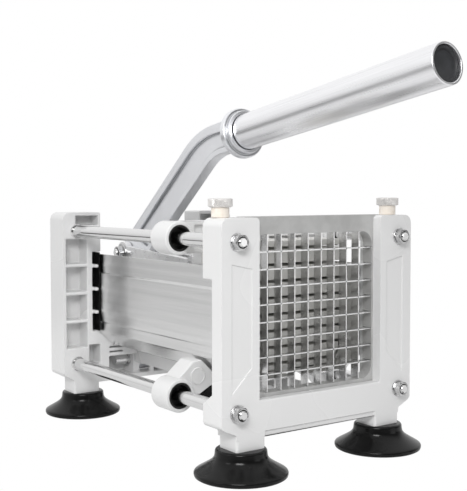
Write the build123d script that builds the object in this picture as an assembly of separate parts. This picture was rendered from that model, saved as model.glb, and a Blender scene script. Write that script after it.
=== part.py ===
"""French fry cutter: two cast frames tied by four rods, a carriage pushed by a lever.

Millimetres. +Z is up, the blade end faces -Y and +X is the right side seen from the blade end.
While modelling, y counts back from the front face of the front frame; save() moves every piece
so that the origin is at the bottom centre of the whole machine.
"""
import os
from math import cos, hypot, radians, sin

from build123d import *

# ---- Frames ----
column_cheek = 16.25           # from the groove for the blade frame to the outside of a column
blade_frame_proud = 0.4        # blade frame above the top of the columns
front_depth = 18.0             # front frame, front face to rear face
rear_face_y = 192.0            # front face of the rear frame
rear_depth = 20.5
rear_column_lap = 2.5          # rear columns reach this far inside the trough walls
crossbar_bottom = 22.0
front_crossbar_drop = 2.0      # top of the front crossbar below the opening
rear_crossbar_top = 57.0
crossbar_step = 1.0            # depth of the step along the bottom of the front crossbar
crossbar_overlap = 0.5         # crossbars let into the columns
corner_radius = 5.0
inner_corner_radius = 2.5      # at the top of the front columns, beside the blade frame
side_radius = 3.0              # where the outer side of a column starts to turn in
post_radius = 1.5
foot_corner = 0.2
rear_heel_radius = 6.0
casting_edge = 1.0             # small rounding along cast edges
cut_over = 1.0                 # how far a cutting blank runs past the face it cuts

# ---- Panels and pockets in the columns ----
panel_depth = 0.8
panel_inner = 5.0              # from the inner side of the front column
panel_outer = 7.0              # from the outer side
panel_top = 12.0               # below the upper rod, at the outer corner
panel_bottom = 10.5            # above the lower rod, at the outer corner
panel_slant_top = 3.0
panel_slant_bottom = 13.5
waist_front = 9.7              # the back of a front column is narrow behind this
waist_cover = 2.0              # metal left beyond the middle line of the rod side
waist_top = 20.5               # below the upper rod
waist_bottom = 3.5             # above the lower rod, at the back
waist_slope = 6.5
pocket_depth = 12.5
pocket_wall = 2.6
ladder_reach = 18.5            # ladder pockets end this far from the outer side
ladder_count = 4
ladder_rib = 2.3
ladder_top_margin = 5.6        # below the upper rod
ladder_low_margin = 8.6        # above the lower rod
top_pocket_outer = 10.0
top_pocket_inner = 1.6
top_pocket_rise = 4.0          # above the upper rod
top_pocket_roof = 2.4
low_pocket_wall = 1.2          # between it and the ladder pockets
low_pocket_inner = 3.2
low_pocket_drop = 1.6          # below the lower rod
low_pocket_rise = 12.0
slot_reach = 6.2               # depth of the trough slot into the column, sideways
slot_strip = 0.9               # room for the edge strip beside the sheet
slot_depth = 8.0
slot_lift = 0.8                # slot above the lower corner of the trough
slot_rise = 1.5                # slot above the trough
slot_rib = 2.4                 # height of the ribs beside the strip
slot_rib_zs = (72.6, 88.9, 105.2)
slot_rib_reach = 4.0           # ribs in front of the column
recess_side = 6.8              # shaft recess from the inner side of a rear column
recess_floor = 3.0
recess_rib = 1.75
groove_depth = 4.0             # shadow grooves in the rear crossbar
groove_width = 1.2
groove_rise = 8.4              # above the lower rod
small_groove_rise = 5.0
small_groove_length = 11.0

# ---- Rods, threads and nuts ----
rod_side_margin = 10.5         # rod axis to the outside of a column
rod_top_margin = 13.0          # upper rod axis to the top of a column
rod_low_z = 37.0
rod_diameter = 8.0
thread_diameter = 5.0
thread_clearance = 0.05        # radial, in every plain hole around a thread
nut_width = 8.0                # across flats
nut_height = 4.0
nut_corner = 1.1               # rounded corners, as a share of half the width
washer_diameter = 10.0
washer_thickness = 1.0
thread_protrusion = 1.2        # beyond the nut
thread_chamfer = 0.5

# ---- Blade frame ----
opening = 88.9                 # square opening that the food passes through
cells = 9                      # cells along one side of the grid
blade_thickness = 0.7
blade_depth = 6.5
blade_border = 10.0            # width of the casting around the opening
blade_frame_depth = 8.0
blade_frame_recess = 6.6       # its front face behind the face of the columns
opening_bottom = 44.5
opening_radius = 8.0
blade_frame_radius = 5.0
groove_clearance = 0.3
window_margin = 1.05           # front frame window beyond the opening
blade_tail = 3.0               # length of a blade end inside the casting
blade_clearance = 0.05
blade_screw_diameter = 3.0
blade_screw_head = 6.0
blade_screw_length = 6.0
blade_screw_sink = 1.8         # seat of the head below the face of the blade frame

# ---- Thumb screws ----
thumb_side_margin = 8.0        # screw axis to the outside of a column
thumb_y = 12.5
thumb_cap_diameter = 14.0
thumb_cap_height = 5.0
thumb_shank_diameter = 10.0
thumb_shank_height = 5.5
thumb_thread_length = 10.0
thumb_chamfer = 0.6
thumb_grips = 18               # grooves around the cap
thumb_grip_radius = 0.8
thumb_grip_depth = 0.45

# ---- Feet ----
post_width = 19.5
post_depth = 17.0
post_bottom = 15.5
post_overlap = 2.0             # post let into the column
front_post_inset = 10.0        # from the outer side of a column
rear_post_inset = 8.0
foot_inset = 19.0              # centre of the cups from the outer side of a column
front_foot_y = 8.5
foot_rear_offset = 9.5         # cup centre behind the front face of the rear frame
toe_height = 3.0               # of the post face below the turned-in side
turn_height = 4.5              # of that slanting side
cup_radius = 26.4
cup_neck_radius = 14.6
cup_neck_height = 7.4
cup_neck_draft = 0.2
cup_rim = 2.8                  # height of the outer edge
cup_lip = 1.5                  # width of the rim that touches the bench
cup_hollow_radius = 8.0
cup_hollow_edge = 5.0          # height of the hollow at that radius
cup_hollow_top = 5.5
cup_sag = 1.5                  # how far the flare hangs below a straight cone
foot_stud_diameter = 5.0
foot_stud_depth = 12.0         # into the post
foot_stud_rubber = 6.0         # into the rubber
foot_stud_gap = 1.0            # above the stud in its hole

# ---- Trough ----
sheet = 1.2
trough_margin = 0.05           # outside of the sheet beyond the blade opening
trough_gap = 7.3               # between the trough and the beam that passes over it
trough_lip_height = 13.5       # upright lip above the step
trough_step = 0.8
trough_bend_z = 74.0           # from here down the wall leans in
trough_lean = 0.5
trough_seam_z = 65.3           # second step, down to the lower corner
trough_seam = 0.5
trough_bevel = 9.9             # between the wall and the floor, at 45 degrees
trough_floor_rise = 3.8        # underside of the floor lips above the bottom of the opening
trough_slot_half = 6.5         # half of the gap between the two floor lips
trough_flange = 9.5
trough_flange_drop = 2.2       # flange below the lower corner
trough_insert = 4.0            # how far the sheet reaches into the rear columns
trough_screw_diameter = 3.0
trough_screw_head = 5.4
trough_screw_head_height = 1.8
trough_screw_low = 3.8         # above the lower corner
trough_screw_high = 9.5        # below the top edge
trough_screw_side = 5.7        # from the outside of the sheet
strip_side_gap = 0.1
strip_end_gap = 0.2
strip_reach = 4.0              # strip in front of the column

# ---- Bottom rail ----
rail_half_width = 12.5
rail_gap = 6.6                 # between the rail and the trough, which the web runs through
rail_height = 8.9
rail_edge = 1.0
rail_fit = 0.1
rail_wall = 2.2
rail_insert = 3.0              # let into each crossbar

# ---- Carriage ----
carriage_y = 57.0              # front face of the collars at rest
collar_length = 18.0
collar_diameter = 20.0
bush_diameter = 15.6
bush_front_gap = 0.4           # bush behind the front face of the collar
bush_rear_gap = 2.0
bush_mouth = 13.0              # wide mouth in front of the running surface
bush_mouth_depth = 6.0
running_clearance = 0.04       # radial, bushes on rods and pins in their holes
beam_height = 19.0
beam_depth = 16.0
beam_setback = 2.0             # beam front face behind the collar faces
beam_rise = 0.3                # middle of the beam above the rods
beam_groove = 3.0              # depth of the two long pockets in its face
beam_groove_side = 11.5        # from the rod axis
beam_groove_middle = 7.0
beam_groove_height = 6.0
beam_groove_low = 2.4          # of the lower pocket above the bottom of the beam
beam_groove_high = 10.6
web_depth = 15.0
web_setback = 3.0
web_trough_gap = 1.2
web_rail_gap = 0.6
web_boss_radius = 5.2
web_boss_wall = 1.0
web_boss_height = 0.6
web_boss_side = 14.1           # from the lower rod axis
web_boss_rise = 10.0
stem_root = 2.0                # stem let into the web
stem_rise = 20.0               # stem above the trough floor
pusher_plate_rear = 15.0       # rear face of the plate behind the collar faces
pusher_plate_depth = 10.0
pusher_top_drop = 2.0          # top of the pusher below the upper rod axis
pusher_gap = 1.0               # between the pusher and the trough
stem_half_width = 4.5
finger_gap = 1.7               # slot between two fingers
finger_length = 23.0
finger_floor = 4.0             # no slot this close above the trough floor
pusher_back = 6.0
pusher_screw_diameter = 4.0
pusher_screw_head = 6.8
pusher_screw_head_height = 2.4
pusher_screw_inset = 12.0      # from the inner side of the trough
pusher_screw_low = 8.0         # above the first bend
pusher_screw_high = 2.0        # below the top of the trough

# ---- Lever, link and pins ----
pivot_setback = 13.3           # pivot shaft behind the front face of the rear frame
pivot_z = 34.0
lever_pin_setback = 13.7       # link pin in the lever, behind the pivot at rest
lever_pin_rise = 78.0          # and above it
lug_reach = 67.0               # front link pin behind the collar faces
carriage_pin_z = 106.0
arm_width = 8.0
arm_web = 3.2
arm_rim_top = 6.2
arm_rim_low = 3.6
arm_depth = 26.4
arm_angle = 38.5               # of the straight part, above horizontal
arm_neck = 20.6                # depth of the arm at the socket flange
arm_low_start = 18.0           # lower edge of the arm starts this far above the elbow
arm_top_radius = 70.0
arm_low_radius = 40.0
arm_neck_shift = 0.8           # neck above the axis of the tube
recess_top_start = 14.0        # recess in the side of the arm: its distance from the elbow
recess_low_start = 6.0
recess_neck = 4.0
recess_radius = 3.0
arm_corner = 0.3
gusset_low = 48.0              # along the lower arm from the pivot
gusset_high = 40.0             # along the upper arm from the elbow
gusset_drop = 12.0
elbow_radius = 10.0
hub_radius = 8.5
hub_width = 16.0
hub_room = 1.2                 # around the hub in the crossbar
handle_reach = 145.5           # start of the tube in front of the link pin
handle_rise = 83.0             # and above it
handle_angle = 8.5
handle_length = 167.7
handle_diameter = 22.4
handle_wall = 1.5
flange_diameter = 32.0
flange_thickness = 4.5
collar_step = 3.0              # tube let into the lip of the flange
collar_lip = 2.6
neck_flare = 3.0
neck_edge = 4.0                # cone smaller than the flange
spigot_length = 26.0
spigot_fit = 0.02
tube_edge = 0.5
plug_depth = 12.0
plug_inset = 1.5
plug_wall = 2.0
plug_dish = 1.5
handle_screw_diameter = 4.0
handle_screw_length = 7.0
handle_screw_place = 13.0      # along the tube from its root
handle_screw_key = 1.1
handle_screw_key_depth = 1.6
shaft_diameter = 8.0
shaft_half_length = 25.0
shaft_chamfer = 0.6
shaft_ring_width = 1.2
shaft_ring_thickness = 1.5
spacer_width = 3.0
spacer_gap = 0.05
recess_room = 0.2              # around the rings in their recess
cheek_thickness = 5.0
cheek_front = 4.0              # behind the front face of the rear frame
cheek_rear = 1.0
cheek_overlap = 1.0
side_clearance = 0.4           # beside the hub, the links and the lug
link_thickness = 5.0
link_height = 11.0
link_eye_radius = 8.0
link_nut_width = 9.0
link_washer_diameter = 12.8
pin_diameter = 6.0
pin_chamfer = 0.6
pin_tail = 1.2                 # pin beyond its clips
pin_float_y = 2.35             # the lug slot lets the pin follow its small arc
pin_float_down = 6.9
pin_float_up = 3.9
lug_half_width = 3.9
lug_wall = 3.2
lug_end_wall = 3.5
lug_foot = 6.0                 # the lug widens towards the plate
lug_foot_length = 14.0
clip_thickness = 1.0
clip_width = 2.0

# ---- Worked out from the sizes above ----
pitch = opening / cells
opening_top = opening_bottom + opening
opening_z = opening_bottom + opening / 2
blade_frame_half = opening / 2 + blade_border
blade_frame_bottom = opening_bottom - blade_border
blade_frame_y0 = blade_frame_recess
blade_frame_y1 = blade_frame_recess + blade_frame_depth
window_half = opening / 2 + window_margin
groove_half = blade_frame_half + groove_clearance
half_width = groove_half + column_cheek
frame_height = opening_top + blade_border - blade_frame_proud
rear_y = rear_face_y + rear_depth
front_crossbar_top = opening_bottom - front_crossbar_drop
column_toe = crossbar_bottom + toe_height
column_side_end = column_toe + turn_height
front_post_outer = half_width - front_post_inset
rear_post_outer = half_width - rear_post_inset
rod_x = half_width - rod_side_margin
rod_high_z = frame_height - rod_top_margin
rod_xs = (-rod_x, rod_x)
rod_zs = (rod_low_z, rod_high_z)
thumb_x = half_width - thumb_side_margin
foot_x = half_width - foot_inset
rear_foot_y = rear_face_y + foot_rear_offset
foot_ys = (front_foot_y, rear_foot_y)
beam_low = rod_high_z - beam_height / 2 + beam_rise
trough_half_width = opening / 2 + trough_margin
trough_inner_half = trough_half_width - sheet
trough_top = beam_low - trough_gap
trough_step_z = trough_top - trough_lip_height
trough_corner_x = trough_half_width - trough_lean - trough_seam
trough_floor_z = opening_bottom + trough_floor_rise
trough_corner_z = trough_floor_z + trough_bevel
trough_floor_x = trough_corner_x - trough_bevel
trough_screw_zs = (trough_corner_z + trough_screw_low, trough_top - trough_screw_high)
slot_bottom = trough_corner_z + slot_lift
slot_top = trough_top + slot_rise
rear_inner_x = trough_half_width - rear_column_lap
rail_top = trough_floor_z - rail_gap
web_top = trough_floor_z - web_trough_gap
web_low = rail_top + web_rail_gap
pusher_top = rod_high_z - pusher_top_drop
pivot = (rear_face_y + pivot_setback, pivot_z)
lever_pin = (pivot[0] + lever_pin_setback, pivot[1] + lever_pin_rise)
carriage_pin = (carriage_y + lug_reach, carriage_pin_z)
handle_root = (lever_pin[0] - handle_reach, lever_pin[1] + handle_rise)
hub_slot_half = hub_width / 2 + side_clearance
link_inner = arm_width / 2 + side_clearance
link_outer = link_inner + link_thickness
handle_radius = handle_diameter / 2
tip_y = handle_root[0] - handle_length * cos(radians(handle_angle))
front_reach = tip_y - handle_radius * sin(radians(handle_angle))
rear_reach = max(rear_foot_y + cup_radius, lever_pin[0] + elbow_radius, rear_y)
centre_y = (front_reach + rear_reach) / 2


# ---- Helpers ----
def block(x0, x1, y0, y1, z0, z1):
    """Box between two corners."""
    return Pos((x0 + x1) / 2, (y0 + y1) / 2, (z0 + z1) / 2) * Box(x1 - x0, y1 - y0, z1 - z0)


def cylinder_x(radius, x0, x1, y, z):
    return Pos((x0 + x1) / 2, y, z) * Rot(0, 90, 0) * Cylinder(radius, x1 - x0)


def cylinder_y(radius, y0, y1, x, z):
    return Pos(x, (y0 + y1) / 2, z) * Rot(90, 0, 0) * Cylinder(radius, y1 - y0)


def cylinder_z(radius, z0, z1, x, y):
    return Pos(x, y, (z0 + z1) / 2) * Cylinder(radius, z1 - z0)


def hexagon_y(width, y0, y1, x, z):
    """Nut blank along Y, by its width across flats."""
    profile = Plane((x, y1, z), x_dir=(1, 0, 0), z_dir=(0, -1, 0)) * RegularPolygon(width / 2, 6, major_radius=False)
    return extrude(profile, amount=y1 - y0)


def hexagon_x(width, x0, x1, y, z):
    profile = Plane((x0, y, z), x_dir=(0, 1, 0), z_dir=(1, 0, 0)) * RegularPolygon(width / 2, 6, major_radius=False)
    return extrude(profile, amount=x1 - x0)


def prism_y(points, y0, y1):
    """Outline in x and z, extruded from y0 back to y1."""
    face = Plane((0, y1, 0), x_dir=(1, 0, 0), z_dir=(0, -1, 0)) * make_face(Polyline(*points, close=True))
    return extrude(face, amount=y1 - y0)


def side_plane(x):
    """Sketch plane whose own axes are y and z, facing +X."""
    return Plane((x, 0, 0), x_dir=(0, 1, 0), z_dir=(1, 0, 0))


def mirrored(points):
    """Close an outline that is symmetric about x = 0."""
    return list(points) + [(-x, z) for x, z in reversed(points)]


def mirror_x(shape):
    return mirror(shape, about=Plane.YZ)


def group(shapes):
    """Separate solids kept in one node."""
    return Compound(children=[solid for shape in shapes for solid in shape.solids()])


def save(name, shape):
    """Write one node with the origin at the bottom centre of the machine."""
    export_step(Pos(0, -centre_y, 0) * shape, f"parts/{name}.step")


# ---- Frames ----
def foot_post(outer, y):
    """Square post under the left column, which the suction foot is screwed to."""
    post = block(-outer, post_width - outer, y, y + post_depth, post_bottom, column_toe + post_overlap)
    return fillet(post.edges().filter_by(Axis.Z), post_radius)


def rod_holes(y0, y1):
    """Four holes for the threaded rod ends."""
    radius = thread_diameter / 2 + thread_clearance
    return [cylinder_y(radius, y0, y1, x, z) for x in rod_xs for z in rod_zs]


def foot_stud_holes(y):
    radius = foot_stud_diameter / 2
    return [cylinder_z(radius, post_bottom - cut_over, post_bottom + foot_stud_depth, x, y)
            for x in (-foot_x, foot_x)]


def column(inner_x, outer_post, y0, y1, radius, inner_radius):
    """Left column: its outer side turns in at the bottom to meet the foot post."""
    points = [(-half_width, column_side_end), (-half_width, frame_height), (-inner_x, frame_height),
              (-inner_x, crossbar_bottom), (-outer_post, crossbar_bottom), (-outer_post, column_toe)]
    radii = [side_radius, radius, inner_radius, foot_corner, foot_corner, post_radius]
    wire = FilletPolyline(*points, radius=radii, close=True)
    plane = Plane((0, y1, 0), x_dir=(1, 0, 0), z_dir=(0, -1, 0))
    return extrude(plane * make_face(wire), amount=y1 - y0)


def front_frame():
    """Cast window frame, open on top, with a groove for the blade frame."""
    rear = front_depth + cut_over
    solid = column(window_half, front_post_outer, 0, front_depth, corner_radius, inner_corner_radius)
    solid += foot_post(front_post_outer, 0)
    # shallow panel on the face of the column
    inner = window_half + panel_inner
    outer = half_width - panel_outer
    top = rod_high_z - panel_top
    bottom = rod_low_z + panel_bottom
    panel = [(-outer, top), (-inner, top - panel_slant_top), (-inner, bottom + panel_slant_bottom), (-outer, bottom)]
    solid -= prism_y(panel, -cut_over, panel_depth)
    # the back of the column is cut away beside the trough
    waist_x = rod_x - rod_diameter / 2 + waist_cover
    low = rod_low_z + waist_bottom
    high = rod_high_z - waist_top
    waist = [(waist_front, low + waist_slope), (rear, low), (rear, high), (waist_front, high)]
    waist_face = side_plane(-half_width - cut_over) * make_face(Polyline(*waist, close=True))
    solid -= extrude(waist_face, amount=half_width + cut_over - waist_x)
    solid += mirror_x(solid)
    crossbar_half = window_half + crossbar_overlap
    solid += block(-crossbar_half, crossbar_half, 0, front_depth, crossbar_bottom, front_crossbar_top)
    # step along the bottom edge of the crossbar
    step_half = front_post_outer - post_width
    solid -= block(-step_half, step_half, -cut_over, crossbar_step, crossbar_bottom - cut_over, column_toe)
    # groove for the blade frame, and the window through which the food passes
    over = frame_height + cut_over
    solid -= block(-groove_half, groove_half, blade_frame_y0, blade_frame_y1 + groove_clearance,
                   blade_frame_bottom, over)
    solid -= block(-window_half, window_half, -cut_over, rear, front_crossbar_top, over)
    # pocket for the bottom rail
    solid -= rail_envelope(front_depth - rail_insert, rear, rail_fit)
    for cut in rod_holes(-cut_over, rear) + foot_stud_holes(front_foot_y):
        solid -= cut
    for x in (-thumb_x, thumb_x):
        radius = thread_diameter / 2 + thread_clearance
        solid -= cylinder_z(radius, frame_height - thumb_thread_length - cut_over, over, x, thumb_y)
    for x, z in trough_screw_places():
        solid -= cylinder_y(trough_screw_diameter / 2, blade_frame_y1, rear, x, z)
    return solid


def rear_column():
    """Left rear column: pockets like a ladder, and a rounded lower rear corner."""
    front = rear_face_y - cut_over
    solid = column(rear_inner_x, rear_post_outer, rear_face_y, rear_y, corner_radius, post_radius)
    heel_y = rear_y - rear_heel_radius
    heel_z = column_toe + rear_heel_radius
    outside = half_width + cut_over
    heel = block(-outside, -rear_inner_x, heel_y, rear_y + cut_over, crossbar_bottom - cut_over, heel_z)
    heel -= cylinder_x(rear_heel_radius, -outside - cut_over, -rear_inner_x + cut_over, heel_y, heel_z)
    solid -= heel
    solid += foot_post(rear_post_outer, rear_face_y)
    floor = rear_face_y + pocket_depth
    ladder_inner = half_width - ladder_reach
    ladder_top = rod_high_z - ladder_top_margin
    ladder_pitch = (ladder_top - rod_low_z - ladder_low_margin) / ladder_count
    for step in range(ladder_count):
        top = ladder_top - step * ladder_pitch
        solid -= block(-half_width + pocket_wall, -ladder_inner, front, floor, top - ladder_pitch + ladder_rib, top)
    # small pocket above the upper rod
    solid -= block(-half_width + top_pocket_outer, -rear_inner_x - top_pocket_inner, front, floor,
                   rod_high_z + top_pocket_rise, frame_height - top_pocket_roof)
    # low pocket beside the crossbar
    solid -= block(-ladder_inner + low_pocket_wall, -rear_inner_x + low_pocket_inner, front, floor,
                   rod_low_z - low_pocket_drop, rod_low_z + low_pocket_rise)
    return solid


def slot_cuts():
    """Slot for the rear end of the trough, and pockets on its outer side with ribs between them."""
    outer = rear_inner_x + slot_reach
    split = trough_half_width + slot_strip
    front = rear_face_y - cut_over
    floor = rear_face_y + slot_depth
    cuts = [block(-split, -rear_inner_x + cut_over, front, floor, slot_bottom, slot_top)]
    lows = [slot_bottom] + [z + slot_rib / 2 for z in slot_rib_zs]
    highs = [z - slot_rib / 2 for z in slot_rib_zs] + [slot_top]
    for low, high in zip(lows, highs):
        cuts.append(block(-outer, -split + cut_over, front, floor, low, high))
    return cuts


def slot_ribs():
    """Front ends of the ribs of the left column, beside the strip."""
    outer = rear_inner_x + slot_reach
    inner = trough_half_width + slot_strip
    half = slot_rib / 2
    return [block(-outer, -inner, rear_face_y - slot_rib_reach, rear_face_y + slot_depth, z - half, z + half)
            for z in slot_rib_zs]


def rear_frame():
    """Cast U-shaped frame with the crossbar that holds the pivot shaft."""
    front = rear_face_y - cut_over
    solid = rear_column()
    solid += mirror_x(solid)
    crossbar_half = rear_inner_x + crossbar_overlap
    crossbar = block(-crossbar_half, crossbar_half, rear_face_y, rear_y, crossbar_bottom, rear_crossbar_top)
    # recess in which the shaft and its rings lie
    recess_half = rear_inner_x - recess_side
    ring_radius = shaft_diameter / 2 + shaft_ring_width + recess_room
    recess_top = pivot[1] + ring_radius
    recess_low = crossbar_bottom + recess_floor
    recess = block(-recess_half, recess_half, front, pivot[0] + ring_radius, recess_low, recess_top)
    recess -= block(-recess_rib, recess_rib, rear_face_y, rear_face_y + recess_floor, recess_low, recess_top)
    crossbar -= recess
    # thin shadow grooves above the recess
    groove_floor = rear_face_y + groove_depth
    groove_z = rod_low_z + groove_rise
    crossbar -= block(-recess_half, recess_half, front, groove_floor, groove_z, groove_z + groove_width)
    groove_z = rod_low_z + small_groove_rise
    for side in (-1, 1):
        low, high = sorted((side * recess_half, side * (recess_half - small_groove_length)))
        crossbar -= block(low, high, front, groove_floor, groove_z, groove_z + groove_width)
    # slot in which the bottom of the lever turns
    open_top = rear_crossbar_top + cut_over
    crossbar -= block(-hub_slot_half, hub_slot_half, pivot[0] - hub_radius - hub_room, rear_y + cut_over,
                      recess_low, open_top)
    crossbar -= block(-hub_slot_half, hub_slot_half, front, rear_y,
                      rod_low_z + groove_rise + groove_width, open_top)
    # cheeks that carry the shaft
    for side in (-1, 1):
        low, high = sorted((side * hub_slot_half, side * (hub_slot_half + cheek_thickness)))
        crossbar += block(low, high, rear_face_y + cheek_front, rear_y - cheek_rear,
                          recess_low - cheek_overlap, recess_top + cheek_overlap)
    solid += crossbar
    solid -= rail_envelope(front, rear_face_y + rail_insert, rail_fit)
    solid -= cylinder_x(shaft_diameter / 2 + running_clearance, -recess_half, recess_half, *pivot)
    for cut in slot_cuts():
        solid -= cut
        solid -= mirror_x(cut)
    for rib in slot_ribs():
        solid += rib
        solid += mirror_x(rib)
    for cut in rod_holes(front, rear_y + cut_over) + foot_stud_holes(rear_foot_y):
        solid -= cut
    return solid


def edge_strip():
    """Rubber strip that wedges the trough in the slot of the left rear column."""
    return block(-trough_half_width - slot_strip, -trough_half_width, rear_face_y - strip_reach,
                 rear_face_y + slot_depth - strip_side_gap, slot_bottom + strip_end_gap, slot_top - strip_end_gap)


# ---- Rods and their fasteners ----
def guide_rod(x, z):
    """Plain bar between the frames with a thread at each end."""
    stack = washer_thickness + nut_height + thread_protrusion
    thread = thread_diameter / 2
    bar = rod_diameter / 2
    tip = thread - thread_chamfer
    outline = [(0, -stack), (tip, -stack), (thread, thread_chamfer - stack), (thread, front_depth),
               (bar, front_depth), (bar, rear_face_y), (thread, rear_face_y),
               (thread, rear_y + stack - thread_chamfer), (tip, rear_y + stack), (0, rear_y + stack)]
    section = Plane.XY * make_face(Polyline(*outline, close=True))
    return Pos(x, 0, z) * revolve(section, Axis.Y)


def washers(face_y, side):
    shapes = []
    for x in rod_xs:
        for z in rod_zs:
            y0, y1 = sorted((face_y, face_y + side * washer_thickness))
            ring = cylinder_y(washer_diameter / 2, y0, y1, x, z)
            shapes.append(ring - cylinder_y(thread_diameter / 2 + thread_clearance, y0, y1, x, z))
    return group(shapes)


def nuts(face_y, side):
    shapes = []
    for x in rod_xs:
        for z in rod_zs:
            y0, y1 = sorted((face_y + side * washer_thickness, face_y + side * (washer_thickness + nut_height)))
            nut = hexagon_y(nut_width, y0, y1, x, z)
            nut &= cylinder_y(nut_width / 2 * nut_corner, y0, y1, x, z)
            shapes.append(nut - cylinder_y(thread_diameter / 2 + thread_clearance, y0, y1, x, z))
    return group(shapes)


# ---- Trough and rail ----
def trough_outline():
    """Outside of the left trough panel from the top edge down to the floor lip."""
    return [(-trough_half_width + trough_step, trough_top),
            (-trough_half_width + trough_step, trough_step_z + trough_step),
            (-trough_half_width, trough_step_z), (-trough_half_width, trough_bend_z),
            (-trough_half_width + trough_lean, trough_seam_z + trough_seam), (-trough_corner_x, trough_seam_z),
            (-trough_corner_x, trough_corner_z), (-trough_floor_x, trough_floor_z),
            (-trough_slot_half, trough_floor_z)]


def trough_panel():
    """Folded left panel with a flange that is screwed to the back of the front frame."""
    plane = Plane((0, rear_face_y + trough_insert, 0), x_dir=(1, 0, 0), z_dir=(0, -1, 0))
    outer = trough_outline()
    inner = inset_outline(outer, sheet)
    face = make_face(Polyline(*(outer + inner[::-1]), close=True))
    panel = extrude(plane * face, amount=rear_face_y + trough_insert - front_depth)
    # behind the rear face only the upright wall goes on, into the slot of the column
    outside = trough_half_width + cut_over
    panel -= block(-outside, 0, rear_face_y - strip_end_gap, rear_face_y + trough_insert + cut_over,
                   trough_floor_z - cut_over, slot_bottom + strip_end_gap)
    flange = block(-trough_half_width - trough_flange, -trough_corner_x + sheet, front_depth, front_depth + sheet,
                   trough_corner_z - trough_flange_drop, trough_top)
    roof = trough_top + cut_over
    within = inner[:-1] + [(0, inner[-2][1]), (0, roof), (inner[0][0], roof)]
    flange -= prism_y(within, front_depth - cut_over, front_depth + sheet + cut_over)
    panel += flange
    radius = trough_screw_diameter / 2 + thread_clearance
    for x, z in trough_screw_places():
        if x < 0:
            panel -= cylinder_y(radius, front_depth - cut_over, front_depth + sheet + cut_over, x, z)
    return panel


def inset_outline(points, thickness):
    """Outline moved inwards, to the right of its direction of travel being the outside."""
    result = []
    for index, (x, z) in enumerate(points):
        before = points[max(index - 1, 0)]
        after = points[min(index + 1, len(points) - 1)]
        first = unit(x - before[0], z - before[1]) if index else None
        second = unit(after[0] - x, after[1] - z) if index < len(points) - 1 else None
        first = first or second
        second = second or first
        # normals that point inside the trough
        n1 = (-first[1], first[0])
        n2 = (-second[1], second[0])
        scale = thickness / (1 + n1[0] * n2[0] + n1[1] * n2[1])
        result.append((x + (n1[0] + n2[0]) * scale, z + (n1[1] + n2[1]) * scale))
    return result


def unit(x, z):
    length = hypot(x, z)
    return (x / length, z / length)


def trough_screw_places():
    x = trough_half_width + trough_screw_side
    return [(side * x, z) for side in (-1, 1) for z in trough_screw_zs]


def trough_screws():
    shapes = []
    for x, z in trough_screw_places():
        seat = front_depth + sheet
        tip = blade_frame_y1 + groove_clearance + spacer_gap
        screw = cylinder_y(trough_screw_diameter / 2, tip, seat, x, z)
        screw += cylinder_y(trough_screw_head / 2, seat, seat + trough_screw_head_height, x, z)
        shapes.append(screw)
    return group(shapes)


def rail_envelope(y0, y1, clearance):
    half = rail_half_width + clearance
    return block(-half, half, y0, y1, rail_top - rail_height - clearance, rail_top + clearance)


def bottom_rail():
    """Channel under the trough, let into both crossbars."""
    y0 = front_depth - rail_insert
    y1 = rear_face_y + rail_insert
    rail = rail_envelope(y0, y1, 0)
    inside = block(-rail_half_width + rail_wall, rail_half_width - rail_wall, y0 + rail_wall, y1 - rail_wall,
                   rail_top - rail_height - cut_over, rail_top - rail_wall)
    rail -= inside
    top_edges = rail.edges().filter_by(Axis.Y).sort_by(Axis.Z)[-2:]
    return fillet(top_edges, rail_edge)


# ---- Blade frame ----
def rounded_square(half, radius, y0, y1):
    """Square block around the middle of the opening."""
    plane = Plane((0, y1, opening_z), x_dir=(1, 0, 0), z_dir=(0, -1, 0))
    return extrude(plane * RectangleRounded(2 * half, 2 * half, radius), amount=y1 - y0)


def blade_frame():
    """Cast square with the opening that the blades cross."""
    solid = rounded_square(blade_frame_half, blade_frame_radius, blade_frame_y0, blade_frame_y1)
    solid -= rounded_square(opening / 2, opening_radius, blade_frame_y0 - cut_over, blade_frame_y1 + cut_over)
    seat = blade_frame_y0 + blade_screw_sink
    for x, z in blade_screw_places():
        solid -= cylinder_y(blade_screw_diameter / 2, seat - cut_over, blade_frame_y0 + blade_screw_length, x, z)
        solid -= cylinder_y(blade_screw_head / 2 + thread_clearance, blade_frame_y0 - cut_over, seat, x, z)
    # slits that hold the ends of the blades
    for blade in vertical_blade_blanks(blade_clearance) + horizontal_blade_blanks(blade_clearance):
        solid -= blade
    return solid


def blade_span():
    """Front and back of the blades."""
    y0 = (blade_frame_y0 + blade_frame_y1 - blade_depth) / 2
    return y0, y0 + blade_depth


def blade_offsets():
    return [(index - cells / 2) * pitch for index in range(1, cells)]


def vertical_blade_blanks(clearance):
    y0, y1 = blade_span()
    half = blade_thickness / 2 + clearance
    return [block(x - half, x + half, y0 - clearance, y1 + clearance,
                  opening_bottom - blade_tail - clearance, opening_top + blade_tail + clearance)
            for x in blade_offsets()]


def horizontal_blade_blanks(clearance):
    y0, y1 = blade_span()
    half = blade_thickness / 2 + clearance
    reach = opening / 2 + blade_tail + clearance
    return [block(-reach, reach, y0 - clearance, y1 + clearance, opening_z + z - half, opening_z + z + half)
            for z in blade_offsets()]


def blades(blanks, crossing, keep_front):
    """Blades with a half-depth slit wherever they cross the other set."""
    y0, y1 = blade_span()
    middle = (y0 + y1) / 2
    rear_part = (middle - blade_clearance, y1 + cut_over)
    front_part = (y0 - cut_over, middle + blade_clearance)
    low, high = rear_part if keep_front else front_part
    slit_zone = block(-half_width, half_width, low, high, 0, opening_top + blade_border)
    slits = [blank & slit_zone for blank in crossing]
    shapes = []
    for blank in blanks:
        for slit in slits:
            blank -= slit
        shapes.append(blank)
    return group(shapes)


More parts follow.
